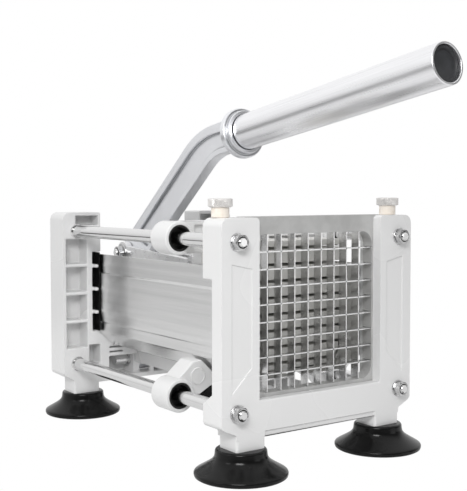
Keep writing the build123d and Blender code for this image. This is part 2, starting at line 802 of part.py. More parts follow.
def blade_screw_places():
    reach = blade_frame_half - blade_border / 2
    return [(sx * reach, opening_z + sz * reach) for sx in (-1, 1) for sz in (-1, 1)]


def blade_screws():
    """Screws sunk in the corners of the blade frame."""
    shapes = []
    seat = blade_frame_y0 + blade_screw_sink
    for x, z in blade_screw_places():
        screw = cylinder_y(blade_screw_diameter / 2, seat, blade_frame_y0 + blade_screw_length, x, z)
        screw += cylinder_y(blade_screw_head / 2, blade_frame_y0 + blade_clearance, seat, x, z)
        shapes.append(screw)
    return group(shapes)


def thumb_screw(x):
    """Knurled cap on a plain shank, threaded into the top of a column."""
    top = frame_height + thumb_shank_height
    screw = cylinder_z(thumb_shank_diameter / 2, frame_height, top, x, thumb_y)
    cap = cylinder_z(thumb_cap_diameter / 2, top, top + thumb_cap_height, x, thumb_y)
    cap = chamfer(cap.edges().filter_by(GeomType.CIRCLE), thumb_chamfer)
    groove_x = thumb_cap_diameter / 2 + thumb_grip_radius - thumb_grip_depth
    groove = Pos(groove_x, 0, top + thumb_cap_height / 2) * Cylinder(thumb_grip_radius, thumb_cap_height + cut_over)
    for index in range(thumb_grips):
        cap -= Pos(x, thumb_y, 0) * Rot(0, 0, index * 360 / thumb_grips) * groove
    screw += cap
    screw += cylinder_z(thread_diameter / 2, frame_height - thumb_thread_length, frame_height, x, thumb_y)
    return screw


# ---- Feet ----
def suction_foot(x, y):
    """Rubber cup: a round neck that flares into a thin disc, hollow underneath."""
    stud = foot_stud_diameter / 2
    neck_end = (cup_neck_radius + cup_neck_draft, post_bottom - cup_neck_height)
    edge = (cup_radius, cup_rim)
    middle = ((neck_end[0] + edge[0] - cup_sag * 2) / 2, (neck_end[1] + edge[1] - cup_sag * 2) / 2)
    line = Polyline((cup_neck_radius, post_bottom), (0, post_bottom), (0, cup_hollow_top),
                    (cup_hollow_radius, cup_hollow_edge), (cup_radius - cup_lip, 0), (cup_radius, 0), edge)
    line += Polyline((cup_neck_radius, post_bottom), neck_end)
    line += ThreePointArc(neck_end, middle, edge)
    cup = Pos(x, y, 0) * revolve(make_face(Plane.XZ * line), Axis.Z)
    return cup - cylinder_z(stud, post_bottom - foot_stud_rubber, post_bottom + cut_over, x, y)


def foot_studs():
    low = post_bottom - foot_stud_rubber
    high = post_bottom + foot_stud_depth - foot_stud_gap
    return group([cylinder_z(foot_stud_diameter / 2, low, high, x, y) for x in (-foot_x, foot_x) for y in foot_ys])


# ---- Carriage ----
def collar_places():
    return [(x, z) for x in rod_xs for z in rod_zs]


def lower_web():
    """Cast web under the trough that joins the left lower collar to the stem."""
    y0 = carriage_y + web_setback
    step_x = -rod_x + 23
    crown_z = rod_low_z + 19
    # its right side follows the bevel of the trough
    slope_x = -trough_floor_x - web_trough_gap / 2
    points = [(-rod_x, rod_low_z + 9.5), (-rod_x + 2.5, rod_low_z + 11.5), (-rod_x + 10.7, crown_z),
              (slope_x - (crown_z + 0.4 - web_top), crown_z + 0.4), (slope_x, web_top),
              (0, web_top), (0, web_low), (-rail_half_width - 8, web_low),
              (step_x, web_low - 2.5), (-rod_x + 15.7, rod_low_z - 1.2), (-rod_x + 8.6, rod_low_z),
              (-rod_x, rod_low_z)]
    web = prism_y(points, y0, y0 + web_depth)
    boss_x = -rod_x + web_boss_side
    boss_z = rod_low_z + web_boss_rise
    front = y0 - web_boss_height
    boss = cylinder_y(web_boss_radius, front, y0 + cut_over, boss_x, boss_z)
    boss -= cylinder_y(web_boss_radius - web_boss_wall, front - cut_over, front + web_boss_height / 2, boss_x, boss_z)
    return web + boss


def upper_beam():
    """Left half of the cast beam over the trough, with two long pockets in its front face."""
    y0 = carriage_y + beam_setback
    beam = block(-rod_x, 0, y0, y0 + beam_depth, beam_low, beam_low + beam_height)
    for low in (beam_low + beam_groove_low, beam_low + beam_groove_high):
        beam -= block(-rod_x + beam_groove_side, -beam_groove_middle, y0 - cut_over, y0 + beam_groove,
                      low, low + beam_groove_height)
    return beam


def pusher_profile(gap, top):
    """Cross-section that fills the trough, less a gap."""
    bottom = inset_outline([(-trough_corner_x, trough_seam_z), (-trough_corner_x, trough_corner_z),
                            (-trough_floor_x, trough_floor_z), (0, trough_floor_z)], sheet + gap)
    return mirrored([(-trough_inner_half + gap, top), (-trough_inner_half + gap, trough_bend_z + gap)] + bottom[:-1])


def carriage():
    """One casting: four collars, the beam, the plate behind the pusher, the stem, the web and the lug."""
    solid = upper_beam() + lower_web()
    for z in rod_zs:
        collar = cylinder_y(collar_diameter / 2, carriage_y, carriage_y + collar_length, rod_xs[0], z)
        collar = fillet(collar.edges().filter_by(GeomType.CIRCLE), casting_edge)
        solid += collar
    solid += mirror_x(solid)
    plate_y1 = carriage_y + pusher_plate_rear
    plate_y0 = plate_y1 - pusher_plate_depth
    solid += prism_y(pusher_profile(pusher_gap, pusher_top), plate_y0, plate_y1)
    stem_y1 = carriage_y + web_setback + web_depth
    solid += block(-stem_half_width, stem_half_width, plate_y0, stem_y1, web_top - stem_root,
                   trough_floor_z + stem_rise)
    solid += lug(plate_y1)
    for x, z in collar_places():
        solid -= cylinder_y(bush_diameter / 2, carriage_y - cut_over, carriage_y + collar_length + cut_over, x, z)
    radius = pusher_screw_diameter / 2 + thread_clearance
    for x, z in pusher_screw_places():
        solid -= cylinder_y(radius, plate_y0 - cut_over, plate_y1 + cut_over, x, z)
    return solid


def lug(y0):
    """Rearward lug whose slot takes the front pin of the links."""
    y, z = carriage_pin
    pin = pin_diameter / 2
    low = z - pin_float_down - pin - lug_wall
    high = z + pin_float_up + pin + lug_wall
    y1 = y + pin_float_y + pin + lug_end_wall
    foot = y0 + lug_foot_length
    outline = [(y0 - cut_over, low - lug_foot), (foot, low), (y1, low), (y1, high), (foot, high),
               (y0 - cut_over, high + lug_foot)]
    face = make_face(Polyline(*outline, close=True))
    slot_height = pin_float_up + pin_float_down + pin_diameter
    slot_z = z + (pin_float_up - pin_float_down) / 2
    face -= Pos(y, slot_z) * RectangleRounded(2 * pin_float_y + pin_diameter, slot_height, pin)
    return extrude(side_plane(-lug_half_width) * face, amount=2 * lug_half_width)


def carriage_bushings():
    """Black plastic bushes, a little shorter than the collars, with a wide mouth in front."""
    shapes = []
    for x, z in collar_places():
        y0 = carriage_y + bush_front_gap
        y1 = carriage_y + collar_length - bush_rear_gap
        bush = cylinder_y(bush_diameter / 2, y0, y1, x, z)
        bush -= cylinder_y(rod_diameter / 2 + running_clearance, y0, y1, x, z)
        shapes.append(bush - cylinder_y(bush_mouth / 2, y0, y0 + bush_mouth_depth, x, z))
    return group(shapes)


def pusher_front_y():
    return carriage_y + pusher_plate_rear - pusher_plate_depth - pusher_back - finger_length


def pusher_block():
    """Block whose front is cut into fingers that line up with the cells of the blades."""
    y0 = pusher_front_y()
    y1 = y0 + finger_length + pusher_back
    solid = prism_y(pusher_profile(pusher_gap, pusher_top), y0, y1)
    half = finger_gap / 2
    for value in blade_offsets():
        solid -= block(value - half, value + half, y0 - cut_over, y0 + finger_length, 0, frame_height)
        z = opening_z + value
        if z - half > trough_floor_z + finger_floor:
            solid -= block(-half_width, half_width, y0 - cut_over, y0 + finger_length, z - half, z + half)
    # the back plate ends below the beam
    solid -= block(-half_width, half_width, carriage_y + beam_setback, y1 + cut_over, beam_low, frame_height)
    radius = pusher_screw_diameter / 2 + thread_clearance
    for x, z in pusher_screw_places():
        solid -= cylinder_y(radius, y1 - pusher_back, y1 + cut_over, x, z)
    return solid


def pusher_screw_places():
    reach = trough_inner_half - pusher_screw_inset
    heights = (trough_bend_z + pusher_screw_low, trough_top - pusher_screw_high)
    return [(x, z) for z in heights for x in (-reach, reach)]


def pusher_screws():
    shapes = []
    for x, z in pusher_screw_places():
        rear = carriage_y + pusher_plate_rear
        tip = rear - pusher_plate_depth - pusher_back + cut_over
        screw = cylinder_y(pusher_screw_diameter / 2, tip, rear, x, z)
        screw += cylinder_y(pusher_screw_head / 2, rear, rear + pusher_screw_head_height, x, z)
        shapes.append(screw)
    return group(shapes)


# ---- Lever ----
def towards(angle):
    """Unit direction in y and z, forward and up by an angle in degrees."""
    return (-cos(radians(angle)), sin(radians(angle)))


def along(point, direction, distance):
    return (point[0] + direction[0] * distance, point[1] + direction[1] * distance)


def crossing(point, direction, other, other_direction):
    """Where two lines in the y-z plane meet."""
    det = direction[0] * -other_direction[1] + other_direction[0] * direction[1]
    dy = other[0] - point[0]
    dz = other[1] - point[1]
    distance = (dy * -other_direction[1] + other_direction[0] * dz) / det
    return along(point, direction, distance)


def arm_face(top_inset=0, low_inset=0):
    """Side view of the upper arm from the elbow to the socket flange, or of the recess in its side."""
    rise = towards(arm_angle)
    above = (rise[1], -rise[0])
    level = towards(handle_angle)
    up = (level[1], -level[0])
    flange_back = along(handle_root, level, -collar_step - flange_thickness)
    neck_top = along(flange_back, up, arm_neck_shift + arm_neck / 2 - top_inset)
    neck_low = along(flange_back, up, arm_neck_shift - arm_neck / 2 + low_inset)
    top_start = along(lever_pin, above, elbow_radius - top_inset)
    low_start = along(top_start, above, top_inset + low_inset - arm_depth)
    low_start = along(low_start, rise, arm_low_start)
    top_corner = crossing(top_start, rise, neck_top, level)
    low_corner = crossing(low_start, rise, neck_low, level)
    soft = arm_corner
    if top_inset:
        soft = recess_radius
        top_start = along(top_start, rise, recess_top_start)
        low_start = along(low_start, rise, recess_low_start)
        neck_top = along(neck_top, level, -low_inset - recess_neck)
        neck_low = along(neck_low, level, -low_inset - recess_neck)
    points = [top_start, top_corner, neck_top, neck_low, low_corner, low_start]
    radii = [soft, arm_top_radius - top_inset, soft, soft, arm_low_radius, soft]
    return make_face(FilletPolyline(*points, radius=radii, close=True))


def capsule(first, radius_1, second, radius_2):
    """Side view of a bar that tapers between two round ends."""
    dy = second[0] - first[0]
    dz = second[1] - first[1]
    n = unit(-dz, dy)
    quad = [along(first, n, radius_1), along(second, n, radius_2), along(second, n, -radius_2),
            along(first, n, -radius_1)]
    face = make_face(Polyline(*quad, close=True))
    face += Pos(*first) * Circle(radius_1)
    face += Pos(*second) * Circle(radius_2)
    return face


def lever_arm():
    """I-section casting: hub on the pivot shaft, elbow with the link pin, arm and socket flange."""
    plane = side_plane(-arm_width / 2)
    outline = arm_face() + capsule(pivot, hub_radius, lever_pin, elbow_radius)
    gusset_start = along(pivot, unit(lever_pin[0] - pivot[0], lever_pin[1] - pivot[1]), gusset_low)
    gusset_end = along(lever_pin, towards(arm_angle), gusset_high)
    gusset_end = (gusset_end[0], gusset_end[1] - gusset_drop)
    outline += make_face(Polyline(gusset_start, lever_pin, gusset_end, close=True))
    arm = extrude(plane * outline, amount=arm_width)
    recess = (arm_width - arm_web) / 2
    for x in (-arm_width / 2, arm_width / 2 - recess):
        arm -= extrude(side_plane(x) * arm_face(arm_rim_top, arm_rim_low), amount=recess)
    arm += cylinder_x(hub_radius, -hub_width / 2, hub_width / 2, *pivot)
    arm += socket_flange()
    arm -= cylinder_x(shaft_diameter / 2 + running_clearance, -hub_width, hub_width, *pivot)
    arm -= cylinder_x(pin_diameter / 2 + running_clearance, -hub_width, hub_width, *lever_pin)
    return arm


def handle_frame():
    """Plane at the root of the tube whose normal runs along the tube to its tip."""
    level = towards(handle_angle)
    return Plane((0, *handle_root), x_dir=(1, 0, 0), z_dir=(0, *level))


def turned(radius, start, end):
    """Cylinder on the handle axis; distances count from the root towards the tip."""
    return handle_frame() * (Pos(0, 0, (start + end) / 2) * Cylinder(radius, end - start))


def socket_flange():
    """Disc with a raised lip around the tube and a spigot inside it."""
    back = -collar_step - flange_thickness
    disc = turned(flange_diameter / 2, back, -collar_step)
    disc = fillet(disc.edges().filter_by(GeomType.CIRCLE), casting_edge)
    lip = turned(handle_radius + collar_lip, -collar_step - cut_over, 0)
    lip -= turned(handle_radius, -collar_step, cut_over)
    cone = Cone(arm_width / 2 + neck_flare, flange_diameter / 2 - neck_edge, 2 * neck_flare)
    neck = handle_frame() * (Pos(0, 0, back - neck_flare + arm_corner) * cone)
    spigot = turned(handle_radius - handle_wall - spigot_fit, -collar_step - cut_over, spigot_length)
    return disc + lip + neck + spigot - grub_screw_blank(thread_clearance)


def handle_tube():
    tube = turned(handle_radius, -collar_step, handle_length)
    tube = fillet(tube.edges().filter_by(GeomType.CIRCLE).sort_by(Axis.Y)[0], tube_edge)
    tube -= turned(handle_radius - handle_wall, -collar_step - cut_over, handle_length + cut_over)
    return tube - grub_screw_blank(thread_clearance)


def handle_plug():
    """Plastic plug pressed into the open end of the tube, a little below the rim."""
    radius = handle_radius - handle_wall
    face = handle_length - plug_inset
    plug = turned(radius, face - plug_depth, face)
    return plug - turned(radius - plug_wall, face - plug_dish, handle_length)


def grub_screw_blank(clearance):
    """Round blank on the underside of the tube, square to its axis."""
    middle = -handle_radius + handle_screw_length / 2
    stand = Pos(0, middle, handle_screw_place) * Rot(90, 0, 0)
    return handle_frame() * stand * Cylinder(handle_screw_diameter / 2 + clearance, handle_screw_length)


def handle_screw():
    """Socket grub screw that holds the tube on the spigot."""
    key = Pos(0, -handle_radius, handle_screw_place) * Rot(90, 0, 0)
    hexagon = RegularPolygon(handle_screw_key, 6)
    socket = handle_frame() * key * extrude(hexagon, amount=handle_screw_key_depth, both=True)
    return grub_screw_blank(0) - socket


# ---- Pivot and link parts ----
def pivot_shaft():
    shaft = cylinder_x(shaft_diameter / 2, -shaft_half_length, shaft_half_length, *pivot)
    return chamfer(shaft.edges().filter_by(GeomType.CIRCLE), shaft_chamfer)


def shaft_rings():
    """Retaining rings outside the two cheeks."""
    shapes = []
    inner = hub_slot_half + cheek_thickness
    for side in (-1, 1):
        x0, x1 = sorted((side * inner, side * (inner + shaft_ring_thickness)))
        ring = cylinder_x(shaft_diameter / 2 + shaft_ring_width, x0, x1, *pivot)
        shapes.append(ring - cylinder_x(shaft_diameter / 2 + thread_clearance, x0, x1, *pivot))
    return group(shapes)


def hub_spacers():
    """Thin washers between the hub and the cheeks."""
    shapes = []
    for side in (-1, 1):
        x0, x1 = sorted((side * (hub_width / 2 + spacer_gap), side * (hub_slot_half - spacer_gap)))
        ring = cylinder_x(shaft_diameter / 2 + spacer_width, x0, x1, *pivot)
        shapes.append(ring - cylinder_x(shaft_diameter / 2 + thread_clearance, x0, x1, *pivot))
    return group(shapes)


def link(side):
    """Flat bar with a round eye at each end."""
    shape = capsule(lever_pin, link_height / 2, carriage_pin, link_height / 2)
    shape += Pos(*lever_pin) * Circle(link_eye_radius)
    shape += Pos(*carriage_pin) * Circle(link_eye_radius)
    x0 = link_inner if side > 0 else -link_outer
    bar = extrude(side_plane(x0) * shape, amount=link_thickness)
    for y, z in (lever_pin, carriage_pin):
        bar -= cylinder_x(pin_diameter / 2 + running_clearance, x0 - cut_over, x0 + link_thickness + cut_over, y, z)
    return bar


def lever_link_pin():
    """Bolt through the elbow and both links."""
    stack = link_outer + washer_thickness + nut_height + thread_protrusion
    pin = cylinder_x(pin_diameter / 2, -stack, stack, *lever_pin)
    return chamfer(pin.edges().filter_by(GeomType.CIRCLE), pin_chamfer)


def link_nuts():
    shapes = []
    for side in (-1, 1):
        start = link_outer + washer_thickness
        x0, x1 = sorted((side * start, side * (start + nut_height)))
        nut = hexagon_x(link_nut_width, x0, x1, *lever_pin)
        nut &= cylinder_x(link_nut_width / 2 * nut_corner, x0, x1, *lever_pin)
        shapes.append(nut - cylinder_x(pin_diameter / 2 + thread_clearance, x0, x1, *lever_pin))
    return group(shapes)


def link_washers():
    shapes = []
    for side in (-1, 1):
        x0, x1 = sorted((side * (link_outer + spacer_gap), side * (link_outer + washer_thickness)))
        ring = cylinder_x(link_washer_diameter / 2, x0, x1, *lever_pin)
        shapes.append(ring - cylinder_x(pin_diameter / 2 + thread_clearance, x0, x1, *lever_pin))
    return group(shapes)


def carriage_link_pin():
    end = link_outer + clip_thickness + pin_tail
    pin = cylinder_x(pin_diameter / 2, -end, end, *carriage_pin)
    return chamfer(pin.edges().filter_by(GeomType.CIRCLE), pin_chamfer)


def pin_clips():
    """Spring clips on both ends of the front pin."""
    shapes = []
    for side in (-1, 1):
        x0, x1 = sorted((side * link_outer, side * (link_outer + clip_thickness)))
        ring = cylinder_x(pin_diameter / 2 + clip_width, x0, x1, *carriage_pin)
        shapes.append(ring - cylinder_x(pin_diameter / 2 + thread_clearance, x0, x1, *carriage_pin))
    return group(shapes)


# ---- Build ----
os.makedirs("parts", exist_ok=True)
save("front_frame", front_frame())
save("rear_frame", rear_frame())
for x, side in zip(rod_xs, ("left", "right")):
    for z, level in zip(rod_zs, ("lower", "upper")):
        save(f"guide_rod_{level}_{side}", guide_rod(x, z))
save("front_rod_washers", washers(0, -1))
save("front_rod_nuts", nuts(0, -1))
save("rear_rod_washers", washers(rear_y, 1))
save("rear_rod_nuts", nuts(rear_y, 1))
left_panel = trough_panel()
save("trough_panel_left", left_panel)
save("trough_panel_right", mirror_x(left_panel))
save("trough_screws", trough_screws())
save("edge_strip_left", edge_strip())
save("edge_strip_right", mirror_x(edge_strip()))
save("bottom_rail", bottom_rail())
save("blade_frame", blade_frame())
save("vertical_blades", blades(vertical_blade_blanks(0), horizontal_blade_blanks(blade_clearance), True))
save("horizontal_blades", blades(horizontal_blade_blanks(0), vertical_blade_blanks(blade_clearance), False))
save("blade_frame_screws", blade_screws())
save("thumb_screw_left", thumb_screw(-thumb_x))
save("thumb_screw_right", thumb_screw(thumb_x))
for y, end in zip(foot_ys, ("front", "rear")):
    for x, side in ((-foot_x, "left"), (foot_x, "right")):
        save(f"suction_foot_{end}_{side}", suction_foot(x, y))
save("foot_studs", foot_studs())
save("carriage", carriage())
save("carriage_bushings", carriage_bushings())
save("pusher_block", pusher_block())
save("pusher_screws", pusher_screws())
save("lever_arm", lever_arm())
save("handle_tube", handle_tube())
save("handle_plug", handle_plug())
save("handle_screw", handle_screw())
save("pivot_shaft", pivot_shaft())
save("shaft_rings", shaft_rings())
save("hub_spacers", hub_spacers())
save("link_left", link(-1))
save("link_right", link(1))
save("lever_link_pin", lever_link_pin())
save("link_washers", link_washers())
save("link_nuts", link_nuts())
save("carriage_link_pin", carriage_link_pin())
save("pin_clips", pin_clips())
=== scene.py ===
"""French fry cutter: cast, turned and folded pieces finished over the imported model.

Sizes are millimetres counted back from the front face of the front columns; finished meshes are put in
the frame, in metres, by MACHINE.
"""
import math

import bmesh
import bpy
from mathutils import Matrix, Vector, kdtree


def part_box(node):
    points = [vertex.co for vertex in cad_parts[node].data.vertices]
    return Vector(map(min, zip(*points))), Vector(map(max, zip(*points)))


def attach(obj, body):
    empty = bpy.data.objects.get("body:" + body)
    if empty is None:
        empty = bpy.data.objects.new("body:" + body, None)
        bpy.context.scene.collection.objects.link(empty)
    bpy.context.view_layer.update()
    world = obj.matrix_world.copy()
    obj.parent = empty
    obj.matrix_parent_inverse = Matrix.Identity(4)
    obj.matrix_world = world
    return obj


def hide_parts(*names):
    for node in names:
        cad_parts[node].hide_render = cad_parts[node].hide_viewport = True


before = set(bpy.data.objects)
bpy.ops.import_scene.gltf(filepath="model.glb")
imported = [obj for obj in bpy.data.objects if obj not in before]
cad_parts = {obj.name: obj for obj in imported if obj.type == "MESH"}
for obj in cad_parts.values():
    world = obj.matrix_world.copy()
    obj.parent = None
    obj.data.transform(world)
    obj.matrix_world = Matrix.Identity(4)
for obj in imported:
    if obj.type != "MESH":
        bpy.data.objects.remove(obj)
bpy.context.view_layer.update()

MM = 0.001
X_AXIS = Vector((1, 0, 0))
Y_AXIS = Vector((0, 1, 0))
Z_AXIS = Vector((0, 0, 1))
FRONT_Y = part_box("front_frame")[0].y
MACHINE = Matrix.Translation((0, FRONT_Y, 0)) @ Matrix.Scale(MM, 4)
STEPS = 64

# ---- Sizes of the machine, as in its solids ----
FRONT_DEPTH = 18.0
REAR_FACE = 192.0
REAR_BACK = 212.5
ROD_X = 60.5
ROD_ZS = (37.0, 130.0)
ROD_PLACES = [(x, z) for x in (-ROD_X, ROD_X) for z in ROD_ZS]
ROD_RADIUS = 4.0
M5 = 2.5
WASHER = 1.0
NUT_HEIGHT = 4.0
THREAD_END = 1.2
OPENING_Z = 88.95
GRID_PITCH = 88.9 / 9
GRID_COUNT = 8
BLADE_THICKNESS = 0.7
BLADE_DEPTH = 6.5
BLADE_LENGTH = 94.9
BLADE_MIDDLE_Y = 10.6
CORNER_SCREW_REACH = 49.45
CORNER_SCREW_SEAT = 8.4
THUMB_X = 63.0
THUMB_Y = 12.5
COLUMN_TOP = 143.0
FOOT_X = 52.0
FOOT_YS = (8.5, 201.5)
POST_BOTTOM = 15.5
TROUGH_HALF = 44.5
TROUGH_TOP = 113.5
SHEET = 1.2
TROUGH_SCREWS = [(side * 50.2, z) for side in (-1, 1) for z in (62.0, 104.0)]
PUSHER_SCREWS = [(side * 31.3, z) for side in (-1, 1) for z in (82.0, 111.5)]
CARRIAGE_Y = 57.0
PLATE_REAR = 72.0
PIVOT = (205.3, 34.0)
LEVER_PIN = (219.0, 112.0)
CARRIAGE_PIN = (124.0, 106.0)
LINK_OUTER = 9.4
HANDLE_TILT = math.radians(8.5)
HANDLE_ROOT = Vector((0, 73.5, 195.0))
HANDLE_LENGTH = 167.7
HANDLE_RADIUS = 11.2
HANDLE_WALL = 1.5
HANDLE_ALONG = Vector((0, -math.cos(HANDLE_TILT), math.sin(HANDLE_TILT)))
HANDLE_DOWN = Vector((0, -math.sin(HANDLE_TILT), -math.cos(HANDLE_TILT)))

# ---- Edges of the finished pieces ----
CASTING_ROUND = 0.9
ARM_ROUND = 0.6
MACHINED_ROUND = 0.35
PLASTIC_ROUND = 0.4
SHEET_ROUND = 0.22
STRIP_ROUND = 0.2
SHARP_ANGLE = math.radians(32)
BEND_ANGLE = math.radians(40)  # rounded edges are shaded smooth up to this
ROUND_SHARE = 0.42  # of the room beside an edge, taken by its rounding
LEAST_ROUND = 0.1  # share of the full radius left on the tightest edges
WALL_REACH = 2.4  # radii to another edge beside one, within which the wall is thin
WELD = 2e-6  # metres
FLAT_ANGLE = math.radians(0.6)

# ---- Fasteners ----
M5_PITCH = 0.8
M5_CUT = 0.3  # depth of the thread
ROD_CUT = 0.32
INSERT_RECESS = 1.3  # for the nylon ring in a lock nut
INSERT_DEPTH = 1.15
ROD_NUT = {"flats": 8.0, "bore": 2.55, "recess_radius": 3.2}
LINK_NUT = {"flats": 9.0, "bore": 3.05, "recess_radius": 3.7}
SHAFT_HALF = 25.0
SHAFT_RADIUS = 4.0
SHAFT_GROOVE = (13.45, 14.9)  # from the middle
LINK_PIN_HALF = 11.6
LINK_PIN_RADIUS = 3.0
LINK_PIN_GROOVE = (9.4, 10.4)
STUD_RUBBER = 6.0  # foot stud in the rubber
STUD_LENGTH = 17.0

# ---- Trough, left panel from the lip down: inwards from its outside, height, radius of the bend ----
TROUGH_SECTION = [(0.8, TROUGH_TOP, 0), (0.8, 100.8, 0.8), (0.0, 100.0, 1.6), (0.0, 74.0, 3.0),
                  (0.5, 65.8, 0.5), (1.0, 65.3, 1.4), (1.0, 58.2, 2.2), (10.9, 48.3, 3.0), (38.0, 48.3, 0)]
TROUGH_SLOT_Z = 59.3  # above this the sheet reaches into the rear frame
TROUGH_INSERT = 4.0
TROUGH_REAR_GAP = 0.2
FLANGE_REACH = 9.5
FLANGE_LOW = 56.0
FLANGE_INNER = 1.0
BEND_STEPS = 6

# ---- Thumb screws and handle plug ----
KNOB_LOW = COLUMN_TOP + 5.5
KNOB_HIGH = COLUMN_TOP + 10.5
BOLT_LOW = 133.0
BOLT_HIGH = 142.9
PLUG_INSET = 1.5
PLUG_DEPTH = 12.0
GRUB_PLACE = 13.0  # along the tube from its root
GRUB_SINK = 1.25

# ---- Camera, in machine millimetres and degrees ----
CAMERA_PLACE = (-361.0, -416.7, 156.0)
CAMERA_AZIMUTH = 35.34
CAMERA_DOWN = 2.82
CAMERA_ROLL = 0.07
CAMERA_LENS = 70.42
CAMERA_SHIFT = (0.0076, -0.0092)
SENSOR_WIDTH = 36

# ---- Light and table, in metres ----
# sine of the height above the horizon, and how bright the room is there
ROOM_STOPS = [(-1.0, 0.5), (-0.32, 0.08), (-0.13, 0.12), (-0.06, 0.74), (0.16, 0.9), (0.42, 1.0), (1.0, 1.0)]
ROOM_STRENGTH = 0.98
FRONT_SHARE = 0.25  # of the light, left in front
TABLE_RADIUS = 0.62
TABLE_STEPS = 96
TABLE_Z = -0.0004
# softboxes: place, target, size, watts
SOFTBOXES = {"key_softbox": ((-0.42, -0.46, 0.42), (-0.06, 0.0, 0.05), (0.3, 0.18), 2.5),
             "side_softbox": ((-0.66, 0.0, 0.42), (-0.06, 0.0, 0.05), (0.2, 0.14), 0.2),
             "front_softbox": ((0.55, -0.85, 0.08), (0.0, 0.0, 0.09), (0.45, 0.3), 0.45)}


# ---- Materials ----
def linear(code):
    """sRGB hex code to linear colour."""
    parts = [int(code[i:i + 2], 16) / 255 for i in (1, 3, 5)]
    return tuple(c / 12.92 if c <= 0.04045 else ((c + 0.055) / 1.055) ** 2.4 for c in parts) + (1.0,)


def add(tree, kind, settings=None, links=None):
    """Add a node; settings are properties or input values, links join inputs to a socket or a node."""
    node = tree.nodes.new(kind)
    for key, value in (settings or {}).items():
        if isinstance(key, str) and hasattr(node, key):
            setattr(node, key, value)
        else:
            node.inputs[key].default_value = value
    for key, source in (links or {}).items():
        tree.links.new(source.outputs[0] if hasattr(source, "outputs") else source, node.inputs[key])
    return node


def start_material(name, color, roughness, metallic=0.0, **shader_inputs):
    """New material; returns it with its tree, its shader and the object coordinates."""
    material = bpy.data.materials.new(name)
    material.use_nodes = True
    tree = material.node_tree
    shader = tree.nodes["Principled BSDF"]
    shader.inputs["Base Color"].default_value = linear(color)
    shader.inputs["Roughness"].default_value = roughness
    shader.inputs["Metallic"].default_value = metallic
    for key, value in shader_inputs.items():
        shader.inputs[key.replace("_", " ")].default_value = value
    where = add(tree, "ShaderNodeTexCoord").outputs["Object"]
    return material, tree, shader, where


def cloud(tree, where, size, detail=3.0):
    """Noise whose patches are about size millimetres wide."""
    return add(tree, "ShaderNodeTexNoise", {"Scale": 1 / (size * MM), "Detail": detail}, {"Vector": where})


def streaks(tree, where, across, along, turn=0.0):
    """Noise drawn out along Y: streaks across millimetres apart and along millimetres long."""
    scale = (1 / (across * MM), 1 / (along * MM), 1 / (across * MM))
    swung = add(tree, "ShaderNodeMapping", {"Rotation": (turn, 0, 0)}, {"Vector": where})
    drawn = add(tree, "ShaderNodeMapping", {"Scale": scale}, {"Vector": swung})
    return add(tree, "ShaderNodeTexNoise", {"Scale": 1.0, "Detail": 2.0}, {"Vector": drawn})


def color_between(tree, shader, value, dark, light):
    """Base colour that wanders between two hex codes."""
    ramp = add(tree, "ShaderNodeValToRGB", None, {"Fac": value})
    for element, position, code in zip(ramp.color_ramp.elements, (0.35, 0.65), (dark, light)):
        element.position = position
        element.color = linear(code)
    tree.links.new(ramp.outputs["Color"], shader.inputs["Base Color"])


def mottled(name, color, roughness, patch, dark, light, metallic=0.0, spread=None, detail=3.0, **inputs):
    """New material whose colour, and roughness where it has a spread, wander in patches of a width."""
    material, tree, shader, where = start_material(name, color, roughness, metallic, **inputs)
    patches = cloud(tree, where, patch, detail)
    color_between(tree, shader, patches, dark, light)
    if spread:
        roughness_between(tree, shader, patches, *spread)
    return material, tree, shader, where


def painted_corner_shade(tree, shader, shade_color, reach):
    """Painted shade: darken the base colour in the corners, found by ambient occlusion within so many
    millimetres about them.
    """
    base = shader.inputs["Base Color"].links[0].from_socket
    open_share = add(tree, "ShaderNodeAmbientOcclusion",
                     {"samples": 8, "only_local": True, "Distance": reach * MM}).outputs["AO"]
    unshaded_share = add(tree, "ShaderNodeMapRange", {"From Min": 0.5, "From Max": 0.95}, {"Value": open_share})
    mix = add(tree, "ShaderNodeMix", {"data_type": "RGBA", 6: linear(shade_color)}, {0: unshaded_share, 7: base})
    tree.links.new(mix.outputs[2], shader.inputs["Base Color"])


def roughness_between(tree, shader, value, low, high):
    spread = add(tree, "ShaderNodeMapRange", {"From Min": 0.3, "From Max": 0.7, "To Min": low, "To Max": high},
                 {"Value": value})
    tree.links.new(spread.outputs["Result"], shader.inputs["Roughness"])


def relief(tree, shader, value, depth, strength):
    """Bump of so many millimetres."""
    bump = add(tree, "ShaderNodeBump", {"Distance": depth * MM, "Strength": strength}, {"Height": value})
    tree.links.new(bump.outputs["Normal"], shader.inputs["Normal"])


def brushed(tree, shader, amount, along=(0, 1, 0)):
    """Reflections drawn out across the brushing; along is the direction of the brush."""
    brush = add(tree, "ShaderNodeVectorTransform",
                {"vector_type": "VECTOR", "convert_from": "OBJECT", "convert_to": "WORLD", 0: along})
    tree.links.new(brush.outputs[0], shader.inputs["Tangent"])
    shader.inputs["Anisotropic"].default_value = amount
    shader.inputs["Anisotropic Rotation"].default_value = 0.25


def powder_coat():
    """Polyester powder coat on die castings: glossy white, with a 2 mm orange-peel ripple in the gloss."""
    material, tree, shader, where = mottled(
        "powder_coat_white", "#E2E2E2", 0.27, 60, "#E1E1E1", "#E3E3E3", spread=(0.25, 0.29), detail=1.0)
    relief(tree, shader, cloud(tree, where, 2.0, 2.0), 0.05, 0.25)
    return material


def tumbled_aluminium():
    """Aluminium casting, tumbled and lacquered: soft satin grey with a 0.6 mm grain, and painted shade in the
    corners.
    """
    material, tree, shader, where = mottled(
        "tumbled_cast_aluminium", "#EFF0F3", 0.34, 18, "#ECEDF0", "#F2F3F6", 0.9, (0.3, 0.37))
    # painted shade: the lever's corners and recesses are darkened in its colour
    painted_corner_shade(tree, shader, "#6A6C70", 2.6)
    relief(tree, shader, cloud(tree, where, 0.6), 0.02, 0.5)
    return material


